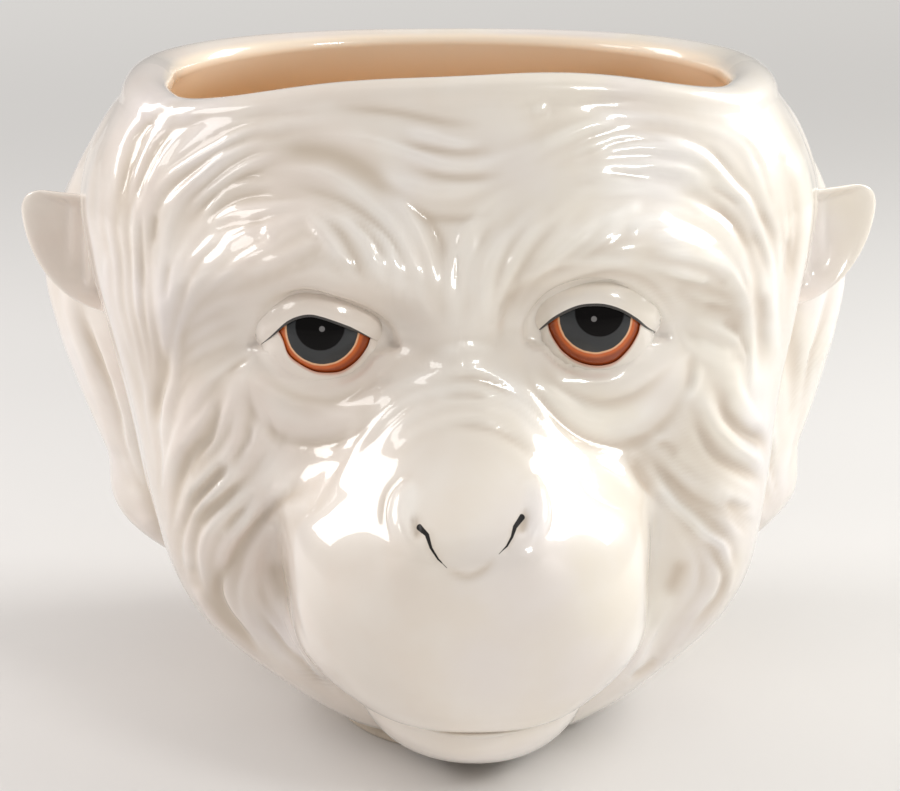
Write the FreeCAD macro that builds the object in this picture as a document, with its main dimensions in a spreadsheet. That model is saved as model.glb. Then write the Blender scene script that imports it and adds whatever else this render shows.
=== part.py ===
"""Monkey head planter: a glazed ceramic pot in the shape of a monkey's head, open at the crown.

The head is a hollow slip casting on a foot ring. Its lower jaw and its two ears are cast by themselves and
joined on with slip, and each eye is a dome on a flat seat, under an upper and a lower lid.
Millimetres, +Z up, the face looks along -Y, and the origin is under the middle of the head on the table.
"""

import FreeCAD, Part
import Sketcher
import math
import os

from FreeCAD import Placement, Rotation, Vector

doc = FreeCAD.newDocument("monkey_head_planter")
sheet = doc.addObject("Spreadsheet::Sheet", "sizes")

# Driving dimensions, one cell each, in millimetres
SIZES = {
    # head casting
    "head_height": 267.0,
    "head_half_width": 149.0,
    "face_reach": 108.0,
    "back_reach": 160.0,
    "wall": 9.0,
    "floor_thickness": 10.0,
    "rim_thickness": 13.0,
    "rim_side_thickness": 21.0,
    "rim_rise": 12.0,
    # foot
    "foot_height": 5.0,
    "foot_half_width": 52.0,
    "foot_half_depth": 75.0,
    "foot_wall": 9.0,
    # muzzle
    "muzzle_root": 62.0,
    "muzzle_length": 107.0,
    "muzzle_half_width": 77.0,
    "nose_height": 119.0,
    "nose_half_width": 28.0,
    "nose_relief": 8.0,
    "nostril_depth": 6.0,
    "mouth_corner_depth": 12.0,
    # eyes
    "eye_height": 184.0,
    "eye_spacing": 104.0,
    "eye_sink": 15.0,
    "eye_seat": 6.0,
    "eyeball_radius": 24.0,
    "eye_opening_half_width": 18.0,
    "eye_opening_rise": 7.0,
    "eye_opening_drop": 13.5,
    "lid_thickness": 3.7,
    "lid_gap": 0.3,
    # face relief
    "brow_relief": 17.0,
    "socket_relief": 6.0,
    "bag_relief": 8.0,
    "cheek_relief": 7.0,
    # hair behind the ears
    "hair_relief": 40.0,
    "hair_bottom": 41.0,
    # lower jaw
    "jaw_height": 36.0,
    "jaw_half_width": 50.0,
    "jaw_smile": 15.0,
    "jaw_setback": 12.0,
    "jaw_root": 40.0,
    # ears
    "ear_height": 208.0,
    "ear_rise": 7.0,
    "ear_radius": 43.0,
    "ear_thickness": 14.0,
    "ear_cup": 9.0,
    "ear_rim": 5.0,
    "ear_root": 9.0,
    # how far a cutting form runs past what it cuts
    "overrun": 10.0,
}

# Driving angles in degrees: the face leans to one side and the eyes look a little outwards, the ears sweep
# back, and the hair behind them starts and fades at angles from the front
ANGLES = {
    "face_lean": 2.0,
    "eye_splay": 7.0,
    "ear_sweep": 32.0,
    "hair_start": 94.0,
    "hair_full": 111.0,
    "hair_fade_end": 174.0,
}


def fill_sheet(values):
    """One row per size: its name, its value, and the name again as the value's alias."""
    for row, (alias, value) in enumerate(values.items(), start=1):
        sheet.set(f"A{row}", alias)
        sheet.set(f"B{row}", str(value))
        sheet.setAlias(f"B{row}", alias)
    doc.recompute()


fill_sheet({**SIZES, **ANGLES})
SHEET_VALUES = {alias: float(sheet.get(alias)) for alias in (*SIZES, *ANGLES)}


def size(alias):
    return SHEET_VALUES[alias]


SIDES = {"left": -1, "right": 1}
SQUARENESS = 2.4  # plan outlines are superellipses, a little squarer than an ellipse

# Height of a section, its half width, its reach forward and its reach back, as shares of
# head_height, head_half_width, face_reach and back_reach
head_section_shares = (
    (0.019, 0.44, 0.78, 0.66),
    (0.055, 0.54, 0.83, 0.72),
    (0.100, 0.63, 0.87, 0.78),
    (0.150, 0.70, 0.89, 0.83),
    (0.225, 0.79, 0.92, 0.89),
    (0.355, 0.86, 0.94, 0.96),
    (0.490, 0.90, 0.95, 1.00),
    (0.620, 0.945, 0.97, 1.00),
    (0.720, 0.985, 0.99, 0.97),
    (0.830, 1.000, 0.99, 0.89),
    (0.920, 0.945, 0.95, 0.80),
    (1.000, 0.850, 0.89, 0.70),
)

# Height of a section, its half width and its length out from the root, as shares of head_height,
# muzzle_half_width and muzzle_length
muzzle_section_shares = (
    (0.019, 0.42, 0.21),
    (0.090, 0.46, 0.37),
    (0.122, 0.53, 0.56),
    (0.152, 0.66, 0.86),
    (0.180, 0.79, 0.935),
    (0.225, 0.94, 0.975),
    (0.290, 1.03, 1.00),
    (0.360, 1.03, 1.00),
    (0.430, 0.93, 0.96),
    (0.490, 0.72, 0.86),
    (0.545, 0.58, 0.74),
    (0.600, 0.44, 0.62),
    (0.660, 0.33, 0.51),
    (0.730, 0.26, 0.38),
    (0.800, 0.22, 0.24),
    (0.870, 0.20, 0.08),
)

# Height up the hair, and how far it stands out there, as shares of head_height and hair_relief
hair_shares = (
    (0.00, 0.0),
    (0.05, 0.62),
    (0.20, 0.76),
    (0.38, 1.00),
    (0.48, 1.00),
    (0.60, 0.60),
    (0.72, 0.18),
    (0.82, 0.0),
)

# Height of a section of the lower jaw as a share of jaw_height, and its width and length as a share of
# the jaw's own at the lip
jaw_section_shares = (
    (0.00, 0.52),
    (0.14, 0.64),
    (0.38, 0.84),
    (0.62, 0.94),
    (1.00, 1.00),
)
# How far in from the lip's edge the jaw's top is flat, as a share of the jaw's own section there
INSIDE_LIP_SHARE = 0.3

# Height of a ring on an eye's dome, as a share of the way from its seat to its top
dome_ring_shares = (0.0, 0.36, 0.66, 0.88, 0.985)

# How finely the free forms are made: poles round a ring, and bands between rings
HEAD_COLUMNS = 60
JAW_COLUMNS = 32
OUTER_BANDS = 26
INNER_BANDS = 22
RIM_TURNS = (36, 72, 108, 144)
FILLET_TURNS = (45, 90)


def along(rows, place):
    """The values of a table's columns at a place between its rows, on a smooth curve through them."""
    last = len(rows) - 1
    if place <= rows[0][0]:
        return rows[0][1:]
    if place >= rows[last][0]:
        return rows[last][1:]
    step = max(i for i in range(last) if rows[i][0] <= place)
    before, start, end, after = (rows[min(max(step + k, 0), last)] for k in (-1, 0, 1, 2))
    run = end[0] - start[0]
    way = (place - start[0]) / run
    values = []
    for column in range(1, len(start)):
        leave = (end[column] - before[column]) / (end[0] - before[0]) * run
        arrive = (after[column] - start[column]) / (after[0] - start[0]) * run
        values.append(
            (2 * way**3 - 3 * way**2 + 1) * start[column]
            + (way**3 - 2 * way**2 + way) * leave
            + (3 * way**2 - 2 * way**3) * end[column]
            + (way**3 - way**2) * arrive
        )
    return tuple(values)


def ramp(value):
    """0 below 0, 1 above 1, and smooth between."""
    way = min(max(value, 0.0), 1.0)
    return way * way * (3 - 2 * way)


def bump(across, up=0.0):
    """1 in its middle and fading out, with both distances in spreads."""
    return math.exp(-(across**2) - up**2)


def smooth_union(first, second, blend):
    """The larger of two reaches, with a fillet of about that blend where they cross."""
    overlap = max(blend - abs(first - second), 0.0) / blend
    return max(first, second) + overlap**2 * blend / 4


def superellipse(angle, half, reach):
    """The reach of a plan outline from its middle at an angle from the front."""
    across = (abs(math.sin(angle)) / half) ** SQUARENESS
    ahead = (abs(math.cos(angle)) / reach) ** SQUARENESS
    return (across + ahead) ** (-1 / SQUARENESS)


def head_radius(angle, height):
    """The plain head's reach from its axis at an angle from the front."""
    half_share, front_share, back_share = along(head_section_shares, height / size("head_height"))
    if math.cos(angle) > 0:
        reach = size("face_reach") * front_share
    else:
        reach = size("back_reach") * back_share
    return superellipse(angle, size("head_half_width") * half_share, reach)


def head_depth(across, height):
    """How far in front of the axis the plain head's face lies, at a distance to the side."""
    half_share, front_share, _ = along(head_section_shares, height / size("head_height"))
    way = abs(across) / (size("head_half_width") * half_share)
    return size("face_reach") * front_share * (1 - way**SQUARENESS) ** (1 / SQUARENESS)


def muzzle_radius(angle, height):
    """The muzzle's reach from the head's axis: a rounded box that stands on the face, 0 behind it."""
    if math.cos(angle) <= 0:
        return 0.0
    half_share, length_share = along(muzzle_section_shares, height / size("head_height"))
    half, length = size("muzzle_half_width") * half_share, size("muzzle_length") * length_share
    inside, outside = 0.0, 2 * (size("muzzle_root") + size("muzzle_length"))
    for halving in range(24):
        middle = (inside + outside) / 2
        across = (middle * abs(math.sin(angle)) / half) ** SQUARENESS
        ahead = (max(middle * math.cos(angle) - size("muzzle_root"), 0.0) / length) ** SQUARENESS
        if across + ahead < 1:
            inside = middle
        else:
            outside = middle
    return inside


def plain_radius(angle, height):
    """Head and muzzle together: they run into one another at the nose bridge and part below it."""
    blend_share = 1 + 3 * ramp((height / size("head_height") - 0.38) / 0.2)
    return smooth_union(head_radius(angle, height), muzzle_radius(angle, height), size("wall") * blend_share)


def lean_at(height):
    """How far the lower face leans towards +X: nothing at the eyes, more down to the foot."""
    return math.tan(math.radians(size("face_lean"))) * max(size("eye_height") - height, 0.0)


def eye_height_at(side):
    """The eyes lean with the face, so the one on -X sits lower."""
    return size("eye_height") + side * size("eye_spacing") / 2 * math.tan(math.radians(size("face_lean")))


def eye_relief(across, height):
    """Brow, socket and bag round the eye on this side, seen from the front."""
    side = -1 if across < 0 else 1
    ball = size("eyeball_radius")
    from_eye = (abs(across) - size("eye_spacing") / 2) / ball
    above_eye = (height - eye_height_at(side)) / ball
    arch = above_eye - 1.22 + 0.16 * from_eye**2
    relief = size("brow_relief") * bump(from_eye / 2.0, arch / 0.7)
    relief -= size("socket_relief") * bump((from_eye + 1.35) / 0.5, above_eye / 0.7)
    relief -= size("socket_relief") * bump((from_eye - 1.6) / 0.6, (above_eye + 0.1) / 0.7)
    sag = above_eye + 1.05 - 0.2 * from_eye**2
    return relief + size("bag_relief") * bump(from_eye / 1.2, sag / 0.42)


def muzzle_relief(across, height):
    """Nose wings, nose tip and nostrils, the hollow behind each mouth corner and the cheek beside it."""
    nose, muzzle, head = size("nose_half_width"), size("muzzle_half_width"), size("head_height")
    x, up = abs(across), (height - size("nose_height")) / nose
    relief = size("nose_relief") * bump(x / (0.75 * nose), (up + 0.1) / 0.75)
    relief += 0.7 * size("nose_relief") * bump((x - 0.8 * nose) / (0.4 * nose), up / 0.5)
    relief -= size("nostril_depth") * bump((x - 0.66 * nose) / (0.22 * nose), (up + 0.42) / 0.3)
    corner = bump((x - 1.02 * muzzle) / (0.13 * muzzle), (height - 0.31 * head) / (0.12 * head))
    cheek = bump((x - 1.3 * muzzle) / (0.26 * muzzle), (height - 0.34 * head) / (0.2 * head))
    return relief - size("mouth_corner_depth") * corner + size("cheek_relief") * cheek


def hair_radius(angle, height):
    """What the hair adds behind the ears: it starts at an edge there and dies away round the back."""
    turn = math.degrees(abs(angle))
    (share,) = along(hair_shares, (height - size("hair_bottom")) / size("head_height"))
    edge = ramp((turn - size("hair_start")) / (size("hair_full") - size("hair_start")))
    fade = ramp((turn - size("hair_full")) / (size("hair_fade_end") - size("hair_full")))
    return size("hair_relief") * share * edge * (1 - 0.9 * fade)


def outer_radius(angle, height):
    """The outside of the head casting."""
    radius = plain_radius(angle, height)
    across = radius * math.sin(angle)
    face = ramp(3 * math.cos(angle))
    relief = eye_relief(across, height) + muzzle_relief(across, height)
    return radius + hair_radius(angle, height) + face * relief


def inner_radius(angle, height):
    """The inside of the casting: it follows the outside, and is thicker behind eyes and mouth corners."""
    radius = plain_radius(angle, height)
    across, ball = abs(radius * math.sin(angle)), size("eyeball_radius")
    muzzle, head = size("muzzle_half_width"), size("head_height")
    from_eye, above_eye = (across - size("eye_spacing") / 2) / ball, (height - size("eye_height")) / ball
    backing = 2 * size("eye_seat") * bump(from_eye / 1.4, above_eye / 1.4)
    corner = bump((across - 1.02 * muzzle) / (0.3 * muzzle), (height - 0.31 * head) / (0.2 * head))
    backing += size("mouth_corner_depth") * corner
    to_rim = (height - size("head_height") + 3 * size("rim_thickness")) / (3 * size("rim_thickness"))
    lip = (rim_thickness_at(angle) - size("wall")) * ramp(to_rim)
    return radius + hair_radius(angle, height) / 2 - size("wall") - lip - backing * ramp(3 * math.cos(angle))


def rim_thickness_at(angle):
    """The rim is thicker at the sides than in front and behind."""
    return size("rim_thickness") + (size("rim_side_thickness") - size("rim_thickness")) * math.sin(angle) ** 2


def rim_height(angle):
    """The cut crown isn't level: it rises over the forehead, and less at the back."""
    front = ramp(1.7 * math.cos(angle) - 0.7)
    back = ramp(-1.2 * math.cos(angle) - 0.2)
    turn_to_right = 0.3 * math.sin(angle) * max(math.cos(angle), 0.0)
    level = size("head_height") - 0.6 * size("rim_rise")
    return level + size("rim_rise") * (1.45 * front + 0.7 * back + turn_to_right)


def roll_height(angle):
    """Where the rim's roll starts, half its thickness under the top."""
    return rim_height(angle) - rim_thickness_at(angle) / 2


def column_angles(columns):
    """Angles from the front, closer together over the face than at the back."""
    turns = [2 * column / columns - 1 for column in range(columns)]
    return [math.pi * (0.55 * turn + 0.45 * turn**3) for turn in turns]


def pole(angle, radius, height, middle_depth=0.0):
    across, ahead = radius * math.sin(angle), middle_depth + radius * math.cos(angle)
    return Vector(across + lean_at(height), -ahead, height)


def ring(poles):
    """A smooth closed edge round a row of poles."""
    degree = 3
    curve = Part.BSplineCurve()
    knots = list(range(len(poles) + 1))
    curve.buildFromPolesMultsKnots(poles, [1] * len(knots), knots, True, degree)
    return Part.Wire([curve.toShape()])


def banded_solid(rows):
    """A solid of bands, each ruled between two neighbouring rings, closed by a flat face at each end."""
    return Part.makeLoft([ring(poles) for poles in rows], True, True)


def head_row(radius_at, height_at):
    """One ring's poles: a height for each angle, and the reach there."""
    poles = []
    for angle in column_angles(HEAD_COLUMNS):
        height = height_at(angle)
        poles.append(pole(angle, radius_at(angle, height), height))
    return poles


def outer_rows():
    """Up the outside, from the flat underside round its edge to where the rim's roll starts."""
    foot, edge = size("foot_height"), size("wall") / 2
    rows = [head_row(lambda angle, height: outer_radius(angle, height) - edge, lambda angle: foot)]
    for band in range(OUTER_BANDS + 1):
        share = band / OUTER_BANDS
        low = (foot + edge) * (1 - share)
        rows.append(head_row(outer_radius, lambda angle: low + roll_height(angle) * share))
    return rows


def rim_rows():
    """Over the rim's roll, from the outside to the inside."""
    rows = []
    for turn in map(math.radians, RIM_TURNS):
        poles = []
        for angle in column_angles(HEAD_COLUMNS):
            half, start = rim_thickness_at(angle) / 2, roll_height(angle)
            middle = outer_radius(angle, start) - half
            poles.append(pole(angle, middle + half * math.cos(turn), start + half * math.sin(turn)))
        rows.append(poles)
    return rows


def inner_rows():
    """Down the inside from the rim's roll, and round a fillet onto the floor."""
    floor, fillet = size("foot_height") + size("floor_thickness"), 2 * size("wall")
    rows = []
    for band in range(INNER_BANDS + 1):
        share = band / INNER_BANDS
        low = (floor + fillet) * share
        rows.append(head_row(inner_radius, lambda angle: roll_height(angle) * (1 - share) + low))
    for turn in map(math.radians, FILLET_TURNS):
        draw, level = (1 - math.cos(turn)) * fillet, floor + fillet * (1 - math.sin(turn))
        rows.append(head_row(lambda angle, height: inner_radius(angle, height) - draw, lambda angle: level))
    return rows


def form(name, shape):
    """A free form that is worked out from the sheet's values."""
    item = doc.addObject("Part::Feature", name)
    item.Shape = shape
    return item


def bound(kind, name, expressions):
    """An object whose sizes are bound to the sheet."""
    item = doc.addObject(kind, name)
    for path, expression in expressions.items():
        item.setExpression(path, expression)
    return item


def boolean(kind, name, base, tool):
    item = doc.addObject(kind, name)
    item.Base, item.Tool = base, tool
    return item


def ruled_loft(name, sections, placement=Placement()):
    item = doc.addObject("Part::Loft", name)
    item.Sections = sections
    item.Solid, item.Ruled = True, True
    item.Placement = placement
    return item


# The casting is one skin: up the outside, over the rim and down the inside to the floor. The core is the same
# outside, filled and carried straight up, and trims what is joined onto it
outside = outer_rows()
head_wall = form("head_wall", banded_solid(outside + rim_rows() + inner_rows()))
crown = size("head_height") + 2 * size("rim_rise") + size("overrun")
straight_up = head_row(lambda angle, height: outer_radius(angle, roll_height(angle)), lambda angle: crown)
head_core = form("head_core", banded_solid(outside + [straight_up]))


def foot_ring():
    """The bare ring that the pot stands on, padded from two ellipses up to the flat underside."""
    body = doc.addObject("PartDesign::Body", "foot_ring")
    sketch = body.newObject("Sketcher::SketchObject", "foot_outline")
    plane = next(item for item in body.Origin.OriginFeatures if item.Role == "XY_Plane")
    sketch.AttachmentSupport = [(plane, "")]
    sketch.MapMode = "FlatFace"
    for inset in ("0", "sizes.foot_wall"):
        trim = size("foot_wall") if inset != "0" else 0.0
        tip = Vector(0, size("foot_half_depth") - trim, 0)
        flank = Vector(size("foot_half_width") - trim, 0, 0)
        ellipse = sketch.addGeometry(Part.Ellipse(tip, flank, Vector(0, 0, 0)), False)
        sketch.exposeInternalGeometry(ellipse)
        long_axis, short_axis = ellipse + 1, ellipse + 2
        sketch.addConstraint(Sketcher.Constraint("Coincident", ellipse, 3, -1, 1))
        sketch.addConstraint(Sketcher.Constraint("Vertical", long_axis))
        for axis, half in ((long_axis, "foot_half_depth"), (short_axis, "foot_half_width")):
            length = sketch.addConstraint(Sketcher.Constraint("Distance", axis, 2 * (size(half) - trim)))
            sketch.setExpression(f"Constraints[{length}]", f"2 * (sizes.{half} - {inset})")
    pad = body.newObject("PartDesign::Pad", "foot_pad")
    pad.Profile = sketch
    pad.setExpression("Length", "sizes.foot_height")
    return body


def eye_frame(side):
    """Where an eye's ball has its centre: its own +Z looks out of the face and its own +Y is up."""
    across, height = side * size("eye_spacing") / 2, eye_height_at(side)
    centre = Vector(across, size("eye_sink") - head_depth(across, height), height)
    splay = Rotation(Vector(0, 0, 1), side * size("eye_splay"))
    return Placement(centre, splay * Rotation(Vector(1, 0, 0), 90))


def dome(name, frame, radius):
    """The front of a ball from its flat seat to its top, lofted through rings. radius is an expression."""
    rings = []
    for count, share in enumerate(dome_ring_shares):
        height = f"(sizes.eye_seat + {share} * ({radius} - sizes.eye_seat))"
        sizes = {"Placement.Base.z": height, "Radius": f"sqrt(({radius}) ^ 2 - {height} ^ 2)"}
        rings.append(bound("Part::Circle", f"{name}_ring_{count}", sizes))
    return ruled_loft(name, rings, frame)


def eye_opening(name, frame, sag_alias, up):
    """A round cutter for the edge of a lid: an arc through both corners of the eye with the lid's sag."""
    half, sag = size("eye_opening_half_width"), size(sag_alias)
    radius = (half**2 + sag**2) / (2 * sag)
    sizes = {
        "Radius": f"(sizes.eye_opening_half_width ^ 2 + sizes.{sag_alias} ^ 2) / (2 * sizes.{sag_alias})",
        "Height": "sizes.eyeball_radius + sizes.lid_thickness + sizes.overrun",
    }
    cutter = bound("Part::Cylinder", name, sizes)
    cutter.Placement = frame * Placement(Vector(0, up * (sag - radius), 0), Rotation())
    return cutter


def eye(word, side):
    """One eye: the ball's dome on its seat and both lids, split level with the corners of the eye."""
    frame = eye_frame(side)
    ball = dome(f"{word}_eyeball", frame, "sizes.eyeball_radius")
    lid_radius = "sizes.eyeball_radius + sizes.lid_gap"
    inside = dome(f"{word}_lid_inside", frame, f"({lid_radius})")
    outside = dome(f"{word}_lid_outside", frame, f"({lid_radius} + sizes.lid_thickness)")
    lids = boolean("Part::Cut", f"{word}_lids", outside, inside)
    reach = "sizes.eyeball_radius + sizes.lid_thickness + sizes.overrun"
    above = bound("Part::Box", f"{word}_above", {"Length": f"2 * ({reach})", "Width": reach, "Height": reach})
    half = size("eyeball_radius") + size("lid_thickness") + size("overrun")
    above.Placement = frame * Placement(Vector(-half, 0, 0), Rotation())
    upper = boolean("Part::Common", f"{word}_upper_half", lids, above)
    lower = boolean("Part::Cut", f"{word}_lower_half", lids, above)
    rise = eye_opening(f"{word}_opening_above", frame, "eye_opening_rise", 1)
    drop = eye_opening(f"{word}_opening_below", frame, "eye_opening_drop", -1)
    nodes = {
        f"{word}_eyeball": ball,
        f"{word}_upper_eyelid": boolean("Part::Cut", f"{word}_upper_eyelid", upper, rise),
        f"{word}_lower_eyelid": boolean("Part::Cut", f"{word}_lower_eyelid", lower, drop),
    }
    return nodes, outside


def ear_frame(side):
    """Where the back of an ear lies: its own +Z runs ahead, out of the ear's cup, and its own +Y is up."""
    sweep, up = math.radians(size("ear_sweep")), Vector(0, 0, 1)
    ahead = Vector(side * math.sin(sweep), -math.cos(sweep), 0)
    level = side * (head_radius(math.pi / 2, size("ear_height")) - size("ear_root"))
    middle = Vector(level, 0, size("ear_height"))
    back = middle - ahead * (size("ear_thickness") / 2)
    return Placement(back, Rotation(up.cross(ahead), up, ahead, "ZYX"))


def under_level(name, frame, inset):
    """A box round everything of an ear that is under its level top edge, or under that edge's inner side."""
    sizes = {
        "Length": "2 * (sizes.ear_radius + sizes.overrun)",
        "Width": f"sizes.ear_rise - {inset} + sizes.ear_radius + sizes.overrun",
        "Height": "sizes.ear_thickness + 2 * sizes.overrun",
    }
    box = bound("Part::Box", name, sizes)
    half = size("ear_radius") + size("overrun")
    box.Placement = frame * Placement(Vector(-half, -half, -size("overrun")), Rotation())
    return box


def ear(word, side):
    """A round leaf with a level top, swept back and cupped in front, trimmed by the head's own outside."""
    frame = ear_frame(side)
    cup_radius = "sizes.ear_radius - sizes.ear_rim"
    sizes = {"Radius1": cup_radius, "Radius2": "sizes.ear_radius", "Height": "sizes.ear_thickness"}
    leaf = bound("Part::Cone", f"{word}_ear_leaf", sizes)
    leaf.Placement = frame
    sizes = {"Radius": cup_radius, "Height": "sizes.ear_cup + sizes.overrun"}
    cup = bound("Part::Cylinder", f"{word}_ear_cup", sizes)
    cup.Placement = frame * Placement(Vector(0, 0, size("ear_thickness") - size("ear_cup")), Rotation())
    leaf_top = under_level(f"{word}_level_top", frame, "0")
    leaf_half = boolean("Part::Common", f"{word}_leaf_half", leaf, leaf_top)
    cup_top = under_level(f"{word}_cup_top", frame, "sizes.ear_rim")
    cup_half = boolean("Part::Common", f"{word}_cup_half", cup, cup_top)
    trimmed = boolean("Part::Cut", f"{word}_trimmed_leaf", leaf_half, head_core)
    return boolean("Part::Cut", f"{word}_ear", trimmed, cup_half)


def lower_jaw():
    """Chin and lower lip: oval sections that step forward as they rise, trimmed by the head's own outside.
    The lip lifts towards the corners of the mouth."""
    rows = []
    angles = [2 * math.pi * column / JAW_COLUMNS for column in range(JAW_COLUMNS)]
    jaw_length = size("muzzle_root") + size("muzzle_length") - size("jaw_setback") - size("jaw_root")
    sections = [(height_share, width_share, height_share) for height_share, width_share in jaw_section_shares]
    sections.append((1.0, INSIDE_LIP_SHARE, 0.0))
    for height_share, width_share, smile_share in sections:
        level = size("foot_height") + size("jaw_height") * height_share
        half, reach = size("jaw_half_width") * width_share, jaw_length / 2 * width_share
        poles = []
        for angle in angles:
            across, ahead = half * math.sin(angle), size("jaw_root") + reach + reach * math.cos(angle)
            smile = size("jaw_smile") * (across / size("jaw_half_width")) ** 2 * smile_share
            poles.append(Vector(across + lean_at(level), -ahead, level + smile))
        rows.append(poles)
    return boolean("Part::Cut", "lower_jaw", form("jaw_form", banded_solid(rows)), head_core)


nodes = {"foot_ring": foot_ring(), "lower_jaw": lower_jaw()}
socket_forms = []
for word, side in SIDES.items():
    nodes[f"{word}_ear"] = ear(word, side)
    eye_nodes, socket = eye(word, side)
    nodes.update(eye_nodes)
    socket_forms.append(socket)
eye_sockets = doc.addObject("Part::MultiFuse", "eye_sockets")
eye_sockets.Shapes = socket_forms
nodes["head_shell"] = boolean("Part::Cut", "head_shell", head_wall, eye_sockets)

doc.recompute()
failed = [item.Name for item in doc.Objects if {"Invalid", "Error"} & set(item.State)]
if failed:
    raise RuntimeError(f"these didn't build: {failed}")
for label, item in nodes.items():
    item.Label = label
    if item.Shape.isNull() or not item.Shape.isValid() or len(item.Shape.Solids) != 1:
        raise RuntimeError(f"{label} isn't one good solid")

os.makedirs("parts", exist_ok=True)
for label, item in nodes.items():
    item.Shape.exportStep(f"parts/{label}.step")
    print(f"{label}: {item.Shape.Volume / 1000:.1f} cm3")
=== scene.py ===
# %% [markdown]
# # A glazed monkey head planter
# The real pot is a hollow slip casting: liquid clay was poured into a plaster mould of a sculpted monkey's
# head, and the casting was dipped in a pearly glaze and its eyes painted by hand. The solids of model.glb
# come in first and stay as they are. Everything below is dressed over them, in metres, in the same frame.

# %% The imported frame
import math

import bpy
import numpy as np
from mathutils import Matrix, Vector
from mathutils.bvhtree import BVHTree


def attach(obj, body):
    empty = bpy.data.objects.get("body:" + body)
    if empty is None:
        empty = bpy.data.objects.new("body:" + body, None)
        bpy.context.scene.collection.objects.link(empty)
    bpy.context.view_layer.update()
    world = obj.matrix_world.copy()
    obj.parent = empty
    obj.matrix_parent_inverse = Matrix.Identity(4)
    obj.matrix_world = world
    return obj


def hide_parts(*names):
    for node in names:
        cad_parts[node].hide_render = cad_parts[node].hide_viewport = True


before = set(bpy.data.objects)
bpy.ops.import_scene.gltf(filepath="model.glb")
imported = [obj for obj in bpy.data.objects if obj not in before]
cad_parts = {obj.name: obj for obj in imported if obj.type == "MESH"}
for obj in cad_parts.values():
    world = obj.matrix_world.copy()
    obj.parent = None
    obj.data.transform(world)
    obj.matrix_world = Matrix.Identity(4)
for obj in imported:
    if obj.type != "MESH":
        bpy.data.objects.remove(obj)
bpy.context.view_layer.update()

MM = 0.001
print("nodes:", ", ".join(sorted(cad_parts)))

# %% [markdown]
# ## The camera first
# The planter is sculpted from one photograph, so the camera is set up before anything else: a long
# lens, a little above the pot and a little to its left. The same camera is also written as a plain
# function, which says where a point of the clay falls in the picture. The sculpting below uses it to put
# each lock and wrinkle where the photograph shows it.

# %% Camera
PICTURE_WIDTH, PICTURE_HEIGHT = 900, 791
LENS_PIXELS = 2722.0
CAMERA_DISTANCE, CAMERA_HEIGHT = 1100 * MM, 430 * MM
CAMERA_PITCH, CAMERA_YAW = math.radians(15.3), math.radians(2.0)

camera_data = bpy.data.cameras.new("camera")
camera_data.sensor_width = 36.0
camera_data.lens = camera_data.sensor_width * LENS_PIXELS / PICTURE_WIDTH
camera = bpy.data.objects.new("camera", camera_data)
bpy.context.scene.collection.objects.link(camera)
camera.location = (
    -CAMERA_DISTANCE * math.sin(CAMERA_YAW),
    -CAMERA_DISTANCE * math.cos(CAMERA_YAW),
    CAMERA_HEIGHT,
)
camera.rotation_euler = (math.pi / 2 - CAMERA_PITCH, 0, -CAMERA_YAW)
bpy.context.scene.camera = camera
eye_point = np.array(camera.location)
look = np.array(
    (
        math.cos(CAMERA_PITCH) * math.sin(CAMERA_YAW),
        math.cos(CAMERA_PITCH) * math.cos(CAMERA_YAW),
        -math.sin(CAMERA_PITCH),
    )
)
to_right = np.array((math.cos(CAMERA_YAW), -math.sin(CAMERA_YAW), 0.0))
to_top = np.cross(to_right, look)


def in_picture(points):
    """Where points fall in the picture, in pixels from its top left corner."""
    ray = points - eye_point
    depth = ray @ look
    across = PICTURE_WIDTH / 2 + LENS_PIXELS * (ray @ to_right) / depth
    down = PICTURE_HEIGHT / 2 - LENS_PIXELS * (ray @ to_top) / depth
    return np.stack((across, down), axis=-1)


def ray_through(places):
    """The direction from the camera through places in the picture."""
    across = (places[..., :1] - PICTURE_WIDTH / 2) / LENS_PIXELS
    down = (places[..., 1:2] - PICTURE_HEIGHT / 2) / LENS_PIXELS
    ray = look + across * to_right - down * to_top
    return ray / np.linalg.norm(ray, axis=-1, keepdims=True)


foot_place = in_picture(np.zeros((1, 3))).round()
print("lens", round(camera_data.lens, 1), "mm; foot of the head falls at", foot_place)

# %% [markdown]
# ## The plain head
# A sculptor starts from a plain mass before cutting any hair. The mass is the casting's own form: a
# squarish egg seen from above, whose width and reach change with height, with the muzzle standing on its
# face. Each table says how wide and how deep the mass is at a height, and a smooth curve runs through the
# rows.

# %% The plain head's sections
HEAD_HEIGHT, HALF_WIDTH, FACE_REACH, BACK_REACH = 267 * MM, 149 * MM, 108 * MM, 160 * MM
MUZZLE_LENGTH, MUZZLE_HALF_WIDTH, MUZZLE_ROOT = 107 * MM, 77 * MM, 62 * MM
EYE_HEIGHT, EYE_SPACING = 184 * MM, 104 * MM
FACE_LEAN = math.tan(math.radians(2.0))
WALL = 9 * MM
SQUARENESS = 2.4

# height, half width, reach in front, reach behind, as shares of the head's own
HEAD_SECTIONS = (
    (0.019, 0.39, 0.73, 0.65),
    (0.055, 0.50, 0.80, 0.72),
    (0.100, 0.61, 0.86, 0.78),
    (0.150, 0.70, 0.89, 0.83),
    (0.225, 0.79, 0.92, 0.89),
    (0.355, 0.86, 0.94, 0.96),
    (0.490, 0.90, 0.95, 1.00),
    (0.620, 0.945, 0.97, 1.00),
    (0.720, 0.985, 0.99, 0.97),
    (0.830, 1.000, 0.99, 0.89),
    (0.920, 0.945, 0.95, 0.80),
    (1.000, 0.850, 0.89, 0.70),
)
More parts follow.
